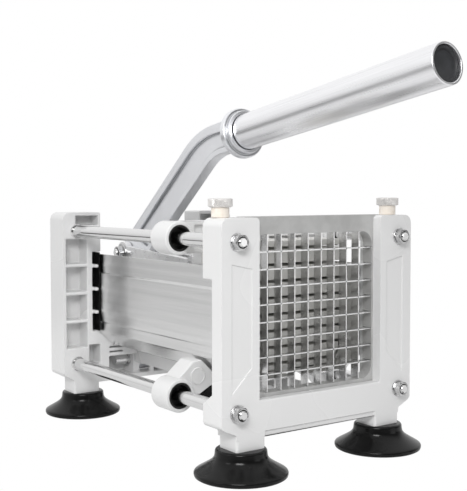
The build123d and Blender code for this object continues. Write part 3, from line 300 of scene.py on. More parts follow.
def polished_steel():
    """Ground and polished steel bar: near mirror, with turning lines drawn 0.6 mm apart so that they show."""
    material, tree, shader, where = start_material("polished_steel_bar", "#E2E2E2", 0.12, 1.0)
    roughness_between(tree, shader, streaks(tree, where, 14, 0.6), 0.08, 0.17)
    return material


def satin_sheet():
    """Stainless sheet with a satin grain lengthwise: soft reflections drawn out along the trough."""
    material, tree, shader, where = start_material("satin_stainless_sheet", "#EAEAEA", 0.26, 1.0)
    grain = streaks(tree, where, 3.0, 160)
    roughness_between(tree, shader, grain, 0.25, 0.27)
    color_between(tree, shader, grain, "#E0E0E0", "#E9E9E9")
    brushed(tree, shader, 0.9)
    return material


def brushed_tube():
    """Stainless tube brushed lengthwise: faint streaks about 0.7 mm apart along the handle."""
    material, tree, shader, where = start_material("brushed_stainless_tube", "#F4F4F6", 0.29, 1.0)
    grain = streaks(tree, where, 0.5, 60, turn=HANDLE_TILT)
    roughness_between(tree, shader, grain, 0.27, 0.31)
    color_between(tree, shader, grain, "#F0F0F2", "#FAFAFC")
    brushed(tree, shader, 0.4, tuple(HANDLE_ALONG))
    return material


def blade_casting():
    """Blasted zinc casting: matt mid grey with a 0.8 mm grain."""
    material, tree, shader, where = mottled(
        "blasted_zinc_casting", "#C6C6C5", 0.5, 8, "#C0C0BF", "#CCCCCB", 0.6)
    relief(tree, shader, cloud(tree, where, 0.8), 0.03, 0.5)
    return material


def blade_steel():
    """Ground blade strip: bright, with grinding lines across drawn 1 mm apart."""
    material, tree, shader, where = start_material("ground_blade_steel", "#DEDEDE", 0.2, 1.0)
    roughness_between(tree, shader, streaks(tree, where, 1.0, 7), 0.15, 0.28)
    return material


def plug_plastic():
    """Moulded polyethylene: dark grey with a fine 0.6 mm texture."""
    material, tree, shader, where = mottled(
        "moulded_polyethylene_grey", "#2E2F31", 0.55, 5, "#2A2B2D", "#343538")
    relief(tree, shader, cloud(tree, where, 0.6), 0.03, 0.5)
    return material


def floor_paper():
    """White paper of a product table, lit from below: plain white to look at, softer to what it lights."""
    material, tree, shader, where = start_material("studio_paper", "#8C8C8C", 0.8)
    shader.inputs["Specular IOR Level"].default_value = 0.0
    shader.inputs["Emission Color"].default_value = linear("#FFFFFF")
    shader.inputs["Emission Strength"].default_value = 0.55
    color_between(tree, shader, cloud(tree, where, 400), "#8A8A8A", "#8E8E8E")
    glow = add(tree, "ShaderNodeEmission", {"Color": linear("#FFFFFF"), "Strength": 1.0})
    seen = add(tree, "ShaderNodeLightPath").outputs["Is Camera Ray"]
    mix = add(tree, "ShaderNodeMixShader", None, {0: seen, 1: shader, 2: glow})
    tree.links.new(mix.outputs[0], tree.nodes["Material Output"].inputs["Surface"])
    return material


# ---- Putting pieces in the frame ----
def in_scene(name, data):
    """New object, linked into the scene."""
    made = bpy.data.objects.new(name, data)
    bpy.context.scene.collection.objects.link(made)
    return made


def to_data(name, solid):
    """Mesh data from a bmesh, which is freed."""
    data = bpy.data.meshes.new(name)
    solid.to_mesh(data)
    solid.free()
    return data


def put(name, data, material, slot, body, *nodes):
    """Put a finished mesh, in millimetres, in the frame on its body; it stands for its nodes."""
    data.transform(MACHINE)
    return put_finished(name, data, material, slot, body, *nodes)


def put_finished(name, data, material, slot, body, *nodes):
    data.name = name
    data.materials.clear()
    data.materials.append(material)
    piece = in_scene(name, data)
    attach(piece, body)
    if nodes:
        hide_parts(*nodes)
    return piece


def soften(data, angle=SHARP_ANGLE):
    """Smooth shading everywhere but across edges sharper than the angle."""
    data.shade_smooth()
    data.set_sharp_from_angle(angle=angle)


def evaluated(data, modify):
    """Mesh after the modifiers that modify(object) adds."""
    holder = in_scene(data.name, data)
    modify(holder)
    bpy.context.view_layer.update()
    graph = bpy.context.evaluated_depsgraph_get()
    result = bpy.data.meshes.new_from_object(holder.evaluated_get(graph), depsgraph=graph)
    holder.modifiers.clear()
    bpy.data.objects.remove(holder)
    return result


def finished(name, solid):
    """Close a bmesh into mesh data with outward faces."""
    bmesh.ops.remove_doubles(solid, verts=solid.verts, dist=1e-4)
    bmesh.ops.recalc_face_normals(solid, faces=solid.faces)
    data = to_data(name, solid)
    soften(data)
    return data


def joined(name, *parts):
    """One mesh from several closed ones."""
    solid = bmesh.new()
    for part in parts:
        solid.from_mesh(part)
    data = to_data(name, solid)
    soften(data)
    return data


def laid(data, direction, start=(0, 0, 0)):
    """Turn a mesh made along +Z to a direction and move its origin to start."""
    turn = Vector(direction).to_track_quat("Z", "Y").to_matrix().to_4x4()
    data.transform(Matrix.Translation(Vector(start)) @ turn)
    return data


# ---- Cast pieces: the solid with its edges rounded ----
def welded(node):
    """A node's mesh with its corners joined and its flat faces merged."""
    solid = bmesh.new()
    solid.from_mesh(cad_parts[node].data)
    bmesh.ops.remove_doubles(solid, verts=solid.verts, dist=WELD)
    bmesh.ops.dissolve_limit(solid, angle_limit=FLAT_ANGLE, verts=solid.verts, edges=solid.edges,
                             delimit={"NORMAL"})
    data = to_data(node, solid)
    if "custom_normal" in data.attributes:
        data.attributes.remove(data.attributes["custom_normal"])
    return data


def edge_points(edge, step):
    """Points along an edge, a step apart at most."""
    start, end = (vert.co for vert in edge.verts)
    count = max(1, math.ceil((end - start).length / step))
    return [start.lerp(end, (k + 0.5) / count) for k in range(count)]


def thin_walls(edges, reach):
    """Distance from each edge to the nearest one beside it, where that is within reach."""
    points = [(point, edge) for edge in edges for point in edge_points(edge, 0.5 * reach)]
    near = kdtree.KDTree(len(points))
    for index, (point, _) in enumerate(points):
        near.insert(point, index)
    near.balance()
    walls = {}
    for point, edge in points:
        along = (edge.verts[1].co - edge.verts[0].co).normalized()
        for place, index, distance in near.find_range(point, reach):
            other = points[index][1]
            if distance > 1e-6 and not set(edge.verts) & set(other.verts) and \
                    abs((place - point).dot(along)) < 0.5 * distance:
                walls[edge] = min(walls.get(edge, reach), distance)
    return walls


def rounded(data, radius, segments=3):
    """Round every sharp edge, less where the faces beside it are small or a wall is thin."""
    solid = bmesh.new()
    solid.from_mesh(data)
    layers = solid.edges.layers.float
    weights = layers.get("bevel_weight_edge") or layers.new("bevel_weight_edge")
    sharp = [edge for edge in solid.edges
             if len(edge.link_faces) == 2 and edge.calc_face_angle(0) >= SHARP_ANGLE]
    walls = thin_walls(sharp, WALL_REACH * radius)
    for edge in sharp:
        room = min([side.calc_length() for vert in edge.verts for side in vert.link_edges]
                   + [walls.get(edge, WALL_REACH * radius)])
        edge[weights] = max(LEAST_ROUND, min(1.0, ROUND_SHARE * room / radius))
    solid.to_mesh(data)
    solid.free()

    def bevel_edges(holder):
        bevel = holder.modifiers.new("round", "BEVEL")
        bevel.width = radius
        bevel.segments = segments
        bevel.limit_method = "WEIGHT"
        bevel.use_clamp_overlap = False
        bevel.loop_slide = False

    def even_normals(holder):
        weighted = holder.modifiers.new("even", "WEIGHTED_NORMAL")
        weighted.keep_sharp = True
        weighted.weight = 100

    result = evaluated(data, bevel_edges)
    soften(result, BEND_ANGLE)
    return evaluated(result, even_normals)


def dressed(node, name, radius, material, slot, body, segments=3):
    """A solid with its sharp edges rounded by so many millimetres."""
    return put_finished(name, rounded(welded(node), radius * MM, segments), material, slot, body, node)


# ---- Turned pieces ----
def ring(solid, radius, height, steps):
    """Ring of corners around Z; radius and height may be functions of the angle."""
    corners = []
    for step in range(steps):
        angle = 2 * math.pi * step / steps
        reach = radius(angle) if callable(radius) else radius
        level = height(angle) if callable(height) else height
        corners.append(solid.verts.new((reach * math.cos(angle), reach * math.sin(angle), level)))
    return corners


def skin(solid, first, second):
    """Faces between two rings, either of which may be a single point."""
    steps = max(len(first), len(second))
    for step in range(steps):
        after = (step + 1) % steps
        if len(first) == 1:
            solid.faces.new((first[0], second[step], second[after]))
        elif len(second) == 1:
            solid.faces.new((first[step], first[after], second[0]))
        else:
            solid.faces.new((first[step], first[after], second[after], second[step]))


def turned(name, outline, steps=STEPS, closed=False):
    """Turned shape along +Z; outline is (height, radius), from axis to axis or a closed loop."""
    solid = bmesh.new()
    rings = []
    for height, radius in outline:
        if not callable(radius) and radius < 1e-6:
            rings.append([solid.verts.new((0, 0, height))])
        else:
            rings.append(ring(solid, radius, height, steps))
    if closed:
        rings.append(rings[0])
    for first, second in zip(rings, rings[1:]):
        skin(solid, first, second)
    return finished(name, solid)


def arc(centre, radius, first, last, count):
    """Outline points on an arc about (height, radius); angles in degrees, 0 towards +height, 90 outwards."""
    points = []
    for step in range(count + 1):
        angle = math.radians(first + (last - first) * step / count)
        points.append((centre[0] + radius * math.cos(angle), centre[1] + radius * math.sin(angle)))
    return points


def thread(start, end, major, pitch, cut):
    """Outline of thread crests and roots between two heights."""
    count = max(1, int(abs(end - start) / pitch))
    step = (end - start) / count
    points = []
    for turn in range(count):
        points += [(start + step * turn, major - cut), (start + step * (turn + 0.35), major),
                   (start + step * (turn + 0.6), major)]
    return points + [(end, major - cut)]


def hexagon(flats, limit):
    """Radius of a hexagon at an angle, cut off at a rounded corner."""
    def radius(angle):
        turn = (math.degrees(angle) % 60) - 30
        return min(flats / 2 / math.cos(math.radians(turn)), limit)
    return radius


def hexagon_nut(flats, bore, recess_radius, height=NUT_HEIGHT):
    """Lock nut standing on Z = 0: chamfered hexagon with a round recess in its outer face for the insert."""
    corner = hexagon(flats, 0.55 * flats)
    face = 0.475 * flats

    def top(angle):
        return height - max(0.0, (corner(angle) - face) * math.tan(math.radians(30)))

    floor = height - INSERT_RECESS
    outline = [(0, bore), (0, face), (lambda angle: height - top(angle), corner), (top, corner),
               (height, face), (height, recess_radius + 0.15), (height - 0.15, recess_radius),
               (floor, recess_radius), (floor, bore)]
    return turned("hexagon_nut", outline, 72, closed=True)


def flat_washer(radius, bore, thickness):
    edge = 0.12
    outline = [(0, bore), (0, radius - edge), (edge, radius), (thickness - edge, radius),
               (thickness, radius - edge), (thickness, bore + edge), (thickness - edge, bore)]
    return turned("flat_washer", outline, closed=True)


def insert_ring(bore, radius, depth=INSERT_DEPTH):
    """Nylon ring in the mouth of a lock nut; its black also stands in for the shade around the bolt end, as
    painted shade.
    """
    outline = [(0, bore), (0, radius), (depth, radius), (depth, bore + 0.1), (depth - 0.1, bore)]
    return turned("insert_ring", outline, closed=True)


def socket_screw(head, head_height, shank, shank_length, key, crown=0.0):
    """Screw with its head on +Z above Z = 0, a hexagon socket in the head and a threaded shank below."""
    edge = min(0.35, head_height / 4)
    key_hole = hexagon(key, key)
    floor = head_height * 0.4
    outline = [(-shank_length, 0), (-shank_length, shank - 0.4), (0.4 - shank_length, shank - 0.1)]
    outline += thread(0.4 - shank_length, -0.6, shank, 0.8, 0.3)
    outline += [(-0.4, shank), (0, shank), (0, head), (head_height - edge - crown, head),
                (head_height - crown, head - edge), (head_height, head * 0.62 if crown else key * 0.75 + 0.2),
                (head_height, key_hole), (floor, key_hole), (floor - 0.3, 0)]
    return turned("socket_screw", outline, 48)


def retaining_ring(bore, radius, thickness, gap):
    """Open spring ring with two round ears beside its gap, standing on Z = 0."""
    count = 40
    half = math.radians(gap / 2)
    solid = bmesh.new()
    rows = []
    for step in range(count + 1):
        angle = half + (2 * math.pi - 2 * half) * step / count
        near_gap = max(0.0, 1 - min(step, count - step) / 4)
        outer = radius + 0.35 * near_gap
        rows.append([solid.verts.new((reach * math.cos(angle), reach * math.sin(angle), level))
                     for reach, level in ((bore, 0), (outer, 0), (outer, thickness), (bore, thickness))])
    for first, second in zip(rows, rows[1:]):
        skin(solid, first, second)
    solid.faces.new(rows[0])
    solid.faces.new(rows[-1][::-1])
    return finished("retaining_ring", solid)


# ---- Geometry trees for what repeats ----
def start_tree(name, **inputs):
    """Empty geometry tree with inputs listed by kind, and a material; returns it and what it is given."""
    tree = bpy.data.node_groups.new(name, "GeometryNodeTree")
    tree.is_modifier = True
    tree.interface.new_socket("Geometry", in_out="OUTPUT", socket_type="NodeSocketGeometry")
    for kind, labels in {"Geometry": ["Geometry"], **inputs, "Material": ["Material"]}.items():
        for label in labels:
            tree.interface.new_socket(label, in_out="INPUT", socket_type=f"NodeSocket{kind}")
    return tree, tree.nodes.new("NodeGroupInput").outputs


def end_tree(tree, given, geometry):
    """Turn instances to mesh, give them their material and hand them out."""
    real = add(tree, "GeometryNodeRealizeInstances", None, {"Geometry": geometry})
    coated = add(tree, "GeometryNodeSetMaterial", None, {"Geometry": real, "Material": given["Material"]})
    add(tree, "NodeGroupOutput", None, {"Geometry": coated})
    return tree


def setting_out_tree():
    """One piece set at every point of the carrier mesh."""
    tree, given = start_tree("set_out_pieces", Object=["Piece"])
    piece = add(tree, "GeometryNodeObjectInfo", None, {"Object": given["Piece"]})
    copies = add(tree, "GeometryNodeInstanceOnPoints", None,
                 {"Points": given["Geometry"], "Instance": piece.outputs["Geometry"]})
    return end_tree(tree, given, copies)


def blade_row_tree():
    """Row of ground strips, evenly spaced about the middle, thinned towards their cutting edge."""
    tree, given = start_tree("row_of_blades", Int=["Count"], Rotation=["Turn"], Vector=["Place"],
                             Float=["Pitch", "Thickness", "Depth", "Length", "Ground Width", "Edge Share"])
    size = add(tree, "ShaderNodeCombineXYZ", None,
               {"X": given["Thickness"], "Y": given["Depth"], "Z": given["Length"]})
    strip = add(tree, "GeometryNodeMeshCube", {"Vertices X": 3, "Vertices Y": 7, "Vertices Z": 2},
                {"Size": size})
    where = add(tree, "GeometryNodeInputPosition")
    place = add(tree, "ShaderNodeSeparateXYZ", None, {"Vector": where}).outputs
    edge = add(tree, "ShaderNodeMath", {"operation": "MULTIPLY", 1: 0.5}, {0: given["Depth"]})
    shoulder = add(tree, "ShaderNodeMath", {"operation": "SUBTRACT"}, {0: edge, 1: given["Ground Width"]})
    thin = add(tree, "ShaderNodeMapRange", {"To Min": 1.0},
               {"Value": place["Y"], "From Min": shoulder, "From Max": edge, "To Max": given["Edge Share"]})
    across = add(tree, "ShaderNodeMath", {"operation": "MULTIPLY"}, {0: place["X"], 1: thin})
    moved = add(tree, "ShaderNodeCombineXYZ", None, {"X": across, "Y": place["Y"], "Z": place["Z"]})
    blade = add(tree, "GeometryNodeSetPosition", None, {"Geometry": strip, "Position": moved})
    gaps = add(tree, "ShaderNodeMath", {"operation": "SUBTRACT", 1: 1.0}, {0: given["Count"]})
    span = add(tree, "ShaderNodeMath", {"operation": "MULTIPLY"}, {0: gaps, 1: given["Pitch"]})
    start = add(tree, "ShaderNodeMath", {"operation": "MULTIPLY", 1: -0.5}, {0: span})
    offset = add(tree, "ShaderNodeCombineXYZ", None, {"X": given["Pitch"]})
    first = add(tree, "ShaderNodeCombineXYZ", None, {"X": start})
    line = add(tree, "GeometryNodeMeshLine", {"mode": "OFFSET"},
               {"Count": given["Count"], "Offset": offset, "Start Location": first})
    row = add(tree, "GeometryNodeInstanceOnPoints", None, {"Points": line, "Instance": blade})
    set_up = add(tree, "GeometryNodeTransform", None,
                 {"Geometry": row, "Rotation": given["Turn"], "Translation": given["Place"]})
    return end_tree(tree, given, set_up)


def knurl_tree():
    """Raised diamonds around a cap, every second row half a step on."""
    tree, given = start_tree("diamond_knurl", Int=["Columns", "Rows"],
                             Float=["Radius", "Row Pitch", "First Row", "Diamond", "Rise"])
    band = add(tree, "GeometryNodeMeshCircle", None, {"Vertices": given["Columns"], "Radius": given["Radius"]})
    up = add(tree, "ShaderNodeCombineXYZ", None, {"Z": given["Row Pitch"]})
    low = add(tree, "ShaderNodeCombineXYZ", None, {"Z": given["First Row"]})
    stack = add(tree, "GeometryNodeMeshLine", {"mode": "OFFSET"},
                {"Count": given["Rows"], "Offset": up, "Start Location": low})
    half_step = add(tree, "ShaderNodeMath", {"operation": "DIVIDE", 0: math.pi}, {1: given["Columns"]})
    odd = add(tree, "ShaderNodeMath", {"operation": "MULTIPLY"},
              {0: add(tree, "GeometryNodeInputIndex"), 1: half_step})
    stagger = add(tree, "ShaderNodeCombineXYZ", None, {"Z": odd})
    bands = add(tree, "GeometryNodeInstanceOnPoints", None,
                {"Points": stack, "Instance": band, "Rotation": stagger})
    points = add(tree, "GeometryNodeRealizeInstances", None, {"Geometry": bands})
    flat = add(tree, "ShaderNodeVectorMath", {"operation": "MULTIPLY", 1: (1, 1, 0)},
               {0: add(tree, "GeometryNodeInputPosition")})
    outwards = add(tree, "FunctionNodeAlignRotationToVector", {"axis": "Z"}, {"Vector": flat})
    stud = add(tree, "GeometryNodeMeshCone", {"Vertices": 4, "Radius Top": 0.0},
               {"Radius Bottom": given["Diamond"], "Depth": given["Rise"]})
    studs = add(tree, "GeometryNodeInstanceOnPoints", None,
                {"Points": points, "Instance": stud, "Rotation": outwards})
    return end_tree(tree, given, studs)


def grown(name, tree, values, carrier=()):
    """Mesh that a geometry tree makes from its named inputs and the carrier's points."""
    base = bpy.data.meshes.new(name)
    base.from_pydata([tuple(point) for point in carrier], [], [])

    def modify(holder):
        modifier = holder.modifiers.new(tree.name, "NODES")
        modifier.node_group = tree
        for item in tree.interface.items_tree:
            if item.in_out == "INPUT" and item.name in values:
                modifier[item.identifier] = values[item.name]

    return evaluated(base, modify)


def put_copies(name, unit, places, material, slot, body, *nodes):
    """Put copies of a unit mesh in the frame, one at each place."""
    pattern = bpy.data.objects.new(unit.name, unit)
    data = grown(name, SET_OUT, {"Piece": pattern, "Material": material}, places)
    bpy.data.objects.remove(pattern)
    return put(name, data, material, slot, body, *nodes)


# ---- Folded sheet ----
def folded_path(corners, radii):
    """Outline with rounded bends: list of (point, normal), the normal to the left of the run."""
    points = [Vector(corner) for corner in corners]
    runs = [(after - before).normalized() for before, after in zip(points, points[1:])]
    normals = [Vector((-run.y, run.x)) for run in runs]
    path = [(points[0], normals[0])]
    for here, radius, before, after, normal in zip(points[1:], radii[1:], runs, runs[1:], normals):
        turn = before.angle_signed(after)
        side = -1 if turn > 0 else 1
        reach = radius * math.tan(abs(turn) / 2)
        centre = here - before * reach + normal * radius * side
        for step in range(BEND_STEPS + 1):
            swung = Matrix.Rotation(-turn * step / BEND_STEPS, 2) @ normal
            path.append((centre - swung * radius * side, swung))
    return path + [(points[-1], normals[-1])]


def folded_sheet(name, path, thickness, y0, y1, y2, keep_above):
    """Sheet along Y from y0 to y1; the part of its outline above a height goes on to y2."""
    solid = bmesh.new()
    stations = []
    for y in (y0, y1, y2):
        outer = [solid.verts.new((point.x, y, point.y)) for point, _ in path]
        inner = [solid.verts.new((point.x + normal.x * thickness, y, point.y + normal.y * thickness))
                 for point, normal in path]
        stations.append((outer, inner))
    last = max(index for index, (point, _) in enumerate(path) if point.y >= keep_above)
    end = len(path) - 1
    for index in range(end):
        for near, far in ((0, 1), (1, 2))[:2 if index < last else 1]:
            for layer in (0, 1):
                a, b = stations[near][layer], stations[far][layer]
                solid.faces.new((a[index], a[index + 1], b[index + 1], b[index]))
        for station in (0, 2 if index < last else 1):
            outer, inner = stations[station]
            solid.faces.new((outer[index], outer[index + 1], inner[index + 1], inner[index]))
    for index, spans in ((0, ((0, 1), (1, 2))), (end, ((0, 1),)), (last, ((1, 2),))):
        for near, far in spans:
            solid.faces.new((stations[near][0][index], stations[far][0][index], stations[far][1][index],
                             stations[near][1][index]))
    loose = [vert for vert in solid.verts if not vert.link_faces]
    bmesh.ops.delete(solid, geom=loose, context="VERTS")
    return finished(name, solid)


def plate(name, outline, y0, y1):
    """Flat plate across Y from an outline in x and z."""
    solid = bmesh.new()
    near = [solid.verts.new((x, y0, z)) for x, z in outline]
    far = [solid.verts.new((x, y1, z)) for x, z in outline]
    solid.faces.new(near)
    solid.faces.new(far[::-1])
    skin(solid, near, far)
    return finished(name, solid)


def mirrored_mesh(data, name):
    """The same mesh on the other side of x = 0."""
    solid = bmesh.new()
    solid.from_mesh(data)
    for vert in solid.verts:
        vert.co.x = -vert.co.x
    bmesh.ops.reverse_faces(solid, faces=solid.faces)
    result = to_data(name, solid)
    soften(result)
    return result


# ---- Studio ----
def camera():
    azimuth, down = math.radians(CAMERA_AZIMUTH), math.radians(CAMERA_DOWN)
    ahead = Vector((math.sin(azimuth) * math.cos(down), math.cos(azimuth) * math.cos(down), -math.sin(down)))
    level = Vector((math.cos(azimuth), -math.sin(azimuth), 0))
    right = Matrix.Rotation(math.radians(CAMERA_ROLL), 3, ahead) @ level
    up = right.cross(ahead)
    place = MACHINE @ Vector(CAMERA_PLACE)
    data = bpy.data.cameras.new("camera")
    data.lens = CAMERA_LENS
    data.sensor_width = SENSOR_WIDTH
    data.shift_x, data.shift_y = CAMERA_SHIFT
    data.clip_start = 0.01
    data.dof.use_dof = False
    holder = in_scene("camera", data)
    turn = Matrix((right, up, -ahead)).transposed().to_4x4()
    holder.matrix_world = Matrix.Translation(place) @ turn
    bpy.context.scene.camera = holder


def softbox(name, place, target, size, power):
    """Rectangular softbox aimed at a point; metres and watts."""
    data = bpy.data.lights.new(name, "AREA")
    data.shape = "RECTANGLE"
    data.size, data.size_y = size
    data.energy = power
    lamp = in_scene(name, data)
    lamp.location = place
    lamp.rotation_euler = (Vector(target) - Vector(place)).to_track_quat("-Z", "Y").to_euler()


def room_light():
    """White tent, open at the front: bright above, greyer at the horizon, dark past the table and in front."""
    world = bpy.data.worlds.new("light_tent")
    bpy.context.scene.world = world
    world.use_nodes = True
    tree = world.node_tree
    tree.nodes.clear()
    where = add(tree, "ShaderNodeTexCoord").outputs["Generated"]
    place = add(tree, "ShaderNodeSeparateXYZ", None, {"Vector": where}).outputs
    level = add(tree, "ShaderNodeMapRange", {"From Min": -1.0, "From Max": 1.0}, {"Value": place["Z"]})
    ramp = add(tree, "ShaderNodeValToRGB", None, {"Fac": level})
    for _ in ROOM_STOPS[2:]:
        ramp.color_ramp.elements.new(0.5)
    for element, (sine, value) in zip(ramp.color_ramp.elements, ROOM_STOPS):
        element.position = (sine + 1) / 2
        element.color = (value, value, value, 1)
    behind = add(tree, "ShaderNodeMapRange",
                 {"From Min": -0.45, "From Max": 0.1, "To Min": FRONT_SHARE, "To Max": 1.0},
                 {"Value": place["Y"]})
    above = add(tree, "ShaderNodeMapRange", {"From Min": 0.35, "From Max": 0.8}, {"Value": place["Z"]})
    tent = add(tree, "ShaderNodeMath", {"operation": "MAXIMUM"}, {0: behind, 1: above})
    strength = add(tree, "ShaderNodeMath", {"operation": "MULTIPLY", 1: ROOM_STRENGTH}, {0: tent})
    room = add(tree, "ShaderNodeBackground", None, {"Color": ramp, "Strength": strength})
    white = add(tree, "ShaderNodeBackground", {"Color": (1, 1, 1, 1), "Strength": 1.0})
    seen = add(tree, "ShaderNodeLightPath").outputs["Is Camera Ray"]
    mix = add(tree, "ShaderNodeMixShader", None, {0: seen, 1: room, 2: white})
    add(tree, "ShaderNodeOutputWorld", None, {"Surface": mix})


def paper_table():
    """Round sheet of lit paper under the machine."""
    solid = bmesh.new()
    solid.faces.new(ring(solid, TABLE_RADIUS, TABLE_Z, TABLE_STEPS))
    data = to_data("studio_table", solid)
    data.materials.append(floor_paper())
    in_scene("studio_table", data)


bpy.context.scene.view_settings.view_transform = "Standard"
bpy.context.scene.view_settings.look = "None"
camera()
room_light()
paper_table()
for name, setup in SOFTBOXES.items():
    softbox(name, *setup)

SET_OUT = setting_out_tree()
BLADE_ROW = blade_row_tree()
KNURL = knurl_tree()

# ---- Finishes ----
coat = powder_coat()
arm_metal = tumbled_aluminium()
bar_steel = polished_steel()
# Bright zinc plating on turned fasteners: cloudy light grey.
zinc = mottled("zinc_plated_steel", "#CFCFCF", 0.26, 3, "#BDBDBE", "#DADADA", 1.0, (0.2, 0.34))[0]
sheet_metal = satin_sheet()
tube_metal = brushed_tube()
# Black rubber from a polished mould: glossy, with broad soft highlights.
rubber = mottled("moulded_rubber_black", "#0C0C0C", 0.2, 9, "#0A0A0A", "#0F0F0F",
                 spread=(0.16, 0.22), IOR=1.3)[0]
# Moulded nylon: dull black.
nylon = mottled("moulded_nylon_black", "#121212", 0.5, 4, "#0F0F0F", "#181818")[0]
grid_casting = blade_casting()
blade_metal = blade_steel()
# Moulded acetal: slightly warm white, low gloss.
acetal = mottled("moulded_acetal_white", "#DEDDD9", 0.42, 12, "#DBDAD6", "#E2E1DD", spread=(0.36, 0.48))[0]
# Nickel-plated cap: the raised diamonds are geometry, the plating is slightly warm.
knob_metal = mottled("nickel_plated_knurl", "#E2E0DE", 0.33, 3, "#DAD8D6", "#E8E6E4", 0.6)[0]
# Cream nylon collar of a thumb screw, moulded smooth.
knob_collar = mottled("moulded_nylon_cream", "#F4EBE0", 0.4, 4, "#F1E7DA", "#F7F0E7")[0]
plug = plug_plastic()
# Zinc-plated flat bar with blanked edges.
link_metal = mottled("zinc_plated_flat_bar", "#ECECEC", 0.3, 5, "#E6E6E7", "#F2F2F2", 1.0, (0.25, 0.38))[0]
# Finishes of fasteners and bars, each paired with a slot name.
PLATED = (zinc, "zinc_fasteners")
BLACK_NYLON = (nylon, "black_nylon")
POLISHED = (bar_steel, "polished_steel")

# ---- Castings, flat bars and moulded blocks ----
for end in ("front", "rear"):
    dressed(f"{end}_frame", f"{end}_casting", CASTING_ROUND, coat, "white_enamel", "frame")
dressed("carriage", "carriage_casting", CASTING_ROUND, coat, "white_enamel", "carriage")
dressed("lever_arm", "lever_casting", ARM_ROUND, arm_metal, "lever_casting", "lever")
dressed("blade_frame", "blade_frame_casting", MACHINED_ROUND, grid_casting, "blade_casting",
        "blade_cassette", 2)
dressed("bottom_rail", "rail_channel", MACHINED_ROUND, coat, "trough_sheet", "frame", 2)
dressed("pusher_block", "pusher_fingers", PLASTIC_ROUND, acetal, "pusher_plastic", "carriage", 2)
for side in ("left", "right"):
    dressed(f"link_{side}", f"link_bar_{side}", MACHINED_ROUND, link_metal, "link_steel", "links", 2)
# The wedge strips at the rear slots are black rubber; their black also stands in for the deep shade of the
# slots, as painted shade.
for side in ("left", "right"):
    dressed(f"edge_strip_{side}", f"wedge_strip_{side}", STRIP_ROUND, rubber, "black_rubber", "frame", 2)


# ---- Guide rods, their washers and lock nuts ----
def guide_rod(x, z):
    """Polished bar with turned-down threaded ends, chamfered shoulders and a locating ring at the rear."""
    stack = WASHER + NUT_HEIGHT + THREAD_END
    front, back = -stack, REAR_BACK + stack
    outline = [(front, 0), (front, M5 - 0.5)] + thread(front + 0.35, FRONT_DEPTH * 0.3, M5, M5_PITCH, ROD_CUT)
    outline += [(FRONT_DEPTH, M5), (FRONT_DEPTH, ROD_RADIUS - 0.3), (FRONT_DEPTH + 0.3, ROD_RADIUS),
                (REAR_FACE - 1.6, ROD_RADIUS), (REAR_FACE - 1.6, ROD_RADIUS + 0.7),
                (REAR_FACE - 1.4, ROD_RADIUS + 0.9), (REAR_FACE, ROD_RADIUS + 0.9), (REAR_FACE, M5)]
    outline += thread(REAR_BACK - 4, back - 0.35, M5, M5_PITCH, ROD_CUT) + [(back, M5 - 0.5), (back, 0)]
    return laid(turned("guide_rod", outline), Y_AXIS, (x, 0, z))


for level, z in zip(("lower", "upper"), ROD_ZS):
    for side, x in (("left", -ROD_X), ("right", ROD_X)):
        put(f"rod_{level}_{side}", guide_rod(x, z), *POLISHED, "frame", f"guide_rod_{level}_{side}")

for end, face, direction in (("front", 0.0, -Y_AXIS), ("rear", REAR_BACK, Y_AXIS)):
    nut = laid(hexagon_nut(**ROD_NUT), direction)
    washer = laid(flat_washer(radius=5.0, bore=2.55, thickness=WASHER), direction)
    in_nut = (0, direction.y * (NUT_HEIGHT - INSERT_RECESS), 0)
    insert = laid(insert_ring(bore=2.52, radius=3.2), direction, in_nut)
    at_nut = [(x, face + direction.y * WASHER, z) for x, z in ROD_PLACES]
    at_washer = [(x, face, z) for x, z in ROD_PLACES]
    put_copies(f"{end}_nuts", nut, at_nut, *PLATED, "frame", f"{end}_rod_nuts")
    # painted shade: the black insert rings also give the dark ring around each rod end
    put_copies(f"{end}_nut_inserts", insert, at_nut, *BLACK_NYLON, "frame")
    put_copies(f"{end}_washers", washer, at_washer, *PLATED, "frame", f"{end}_rod_washers")


# ---- Trough ----
def trough_panel():
    """Left panel: joggled upright wall, bevel down to the floor lip, and the flange at the front frame."""
    edge = -TROUGH_HALF
    path = folded_path([(edge + inset, z) for inset, z, _ in TROUGH_SECTION],
                       [bend for _, _, bend in TROUGH_SECTION])
    wall = folded_sheet("wall", path, SHEET, FRONT_DEPTH, REAR_FACE - TROUGH_REAR_GAP,
                        REAR_FACE + TROUGH_INSERT, TROUGH_SLOT_Z)
    outer, inner, low, high = edge - FLANGE_REACH, edge + FLANGE_INNER, FLANGE_LOW, TROUGH_TOP
    flange = plate("flange", [(outer, low), (inner, low), (inner, high), (outer, high)],
                   FRONT_DEPTH, FRONT_DEPTH + SHEET)
    return joined("panel", rounded(wall, SHEET_ROUND, 2), rounded(flange, SHEET_ROUND, 2))


panel = trough_panel()
for side, data in (("left", panel), ("right", mirrored_mesh(panel, "panel_right"))):
    put(f"trough_sheet_{side}", data, sheet_metal, "trough_sheet", "frame", f"trough_panel_{side}")
screw = laid(socket_screw(head=2.7, head_height=1.8, shank=1.5, shank_length=4.2, key=1.25, crown=0.4), Y_AXIS)
put_copies("flange_screws", screw, [(x, FRONT_DEPTH + SHEET, z) for x, z in TROUGH_SCREWS], *PLATED, "frame",
           "trough_screws")

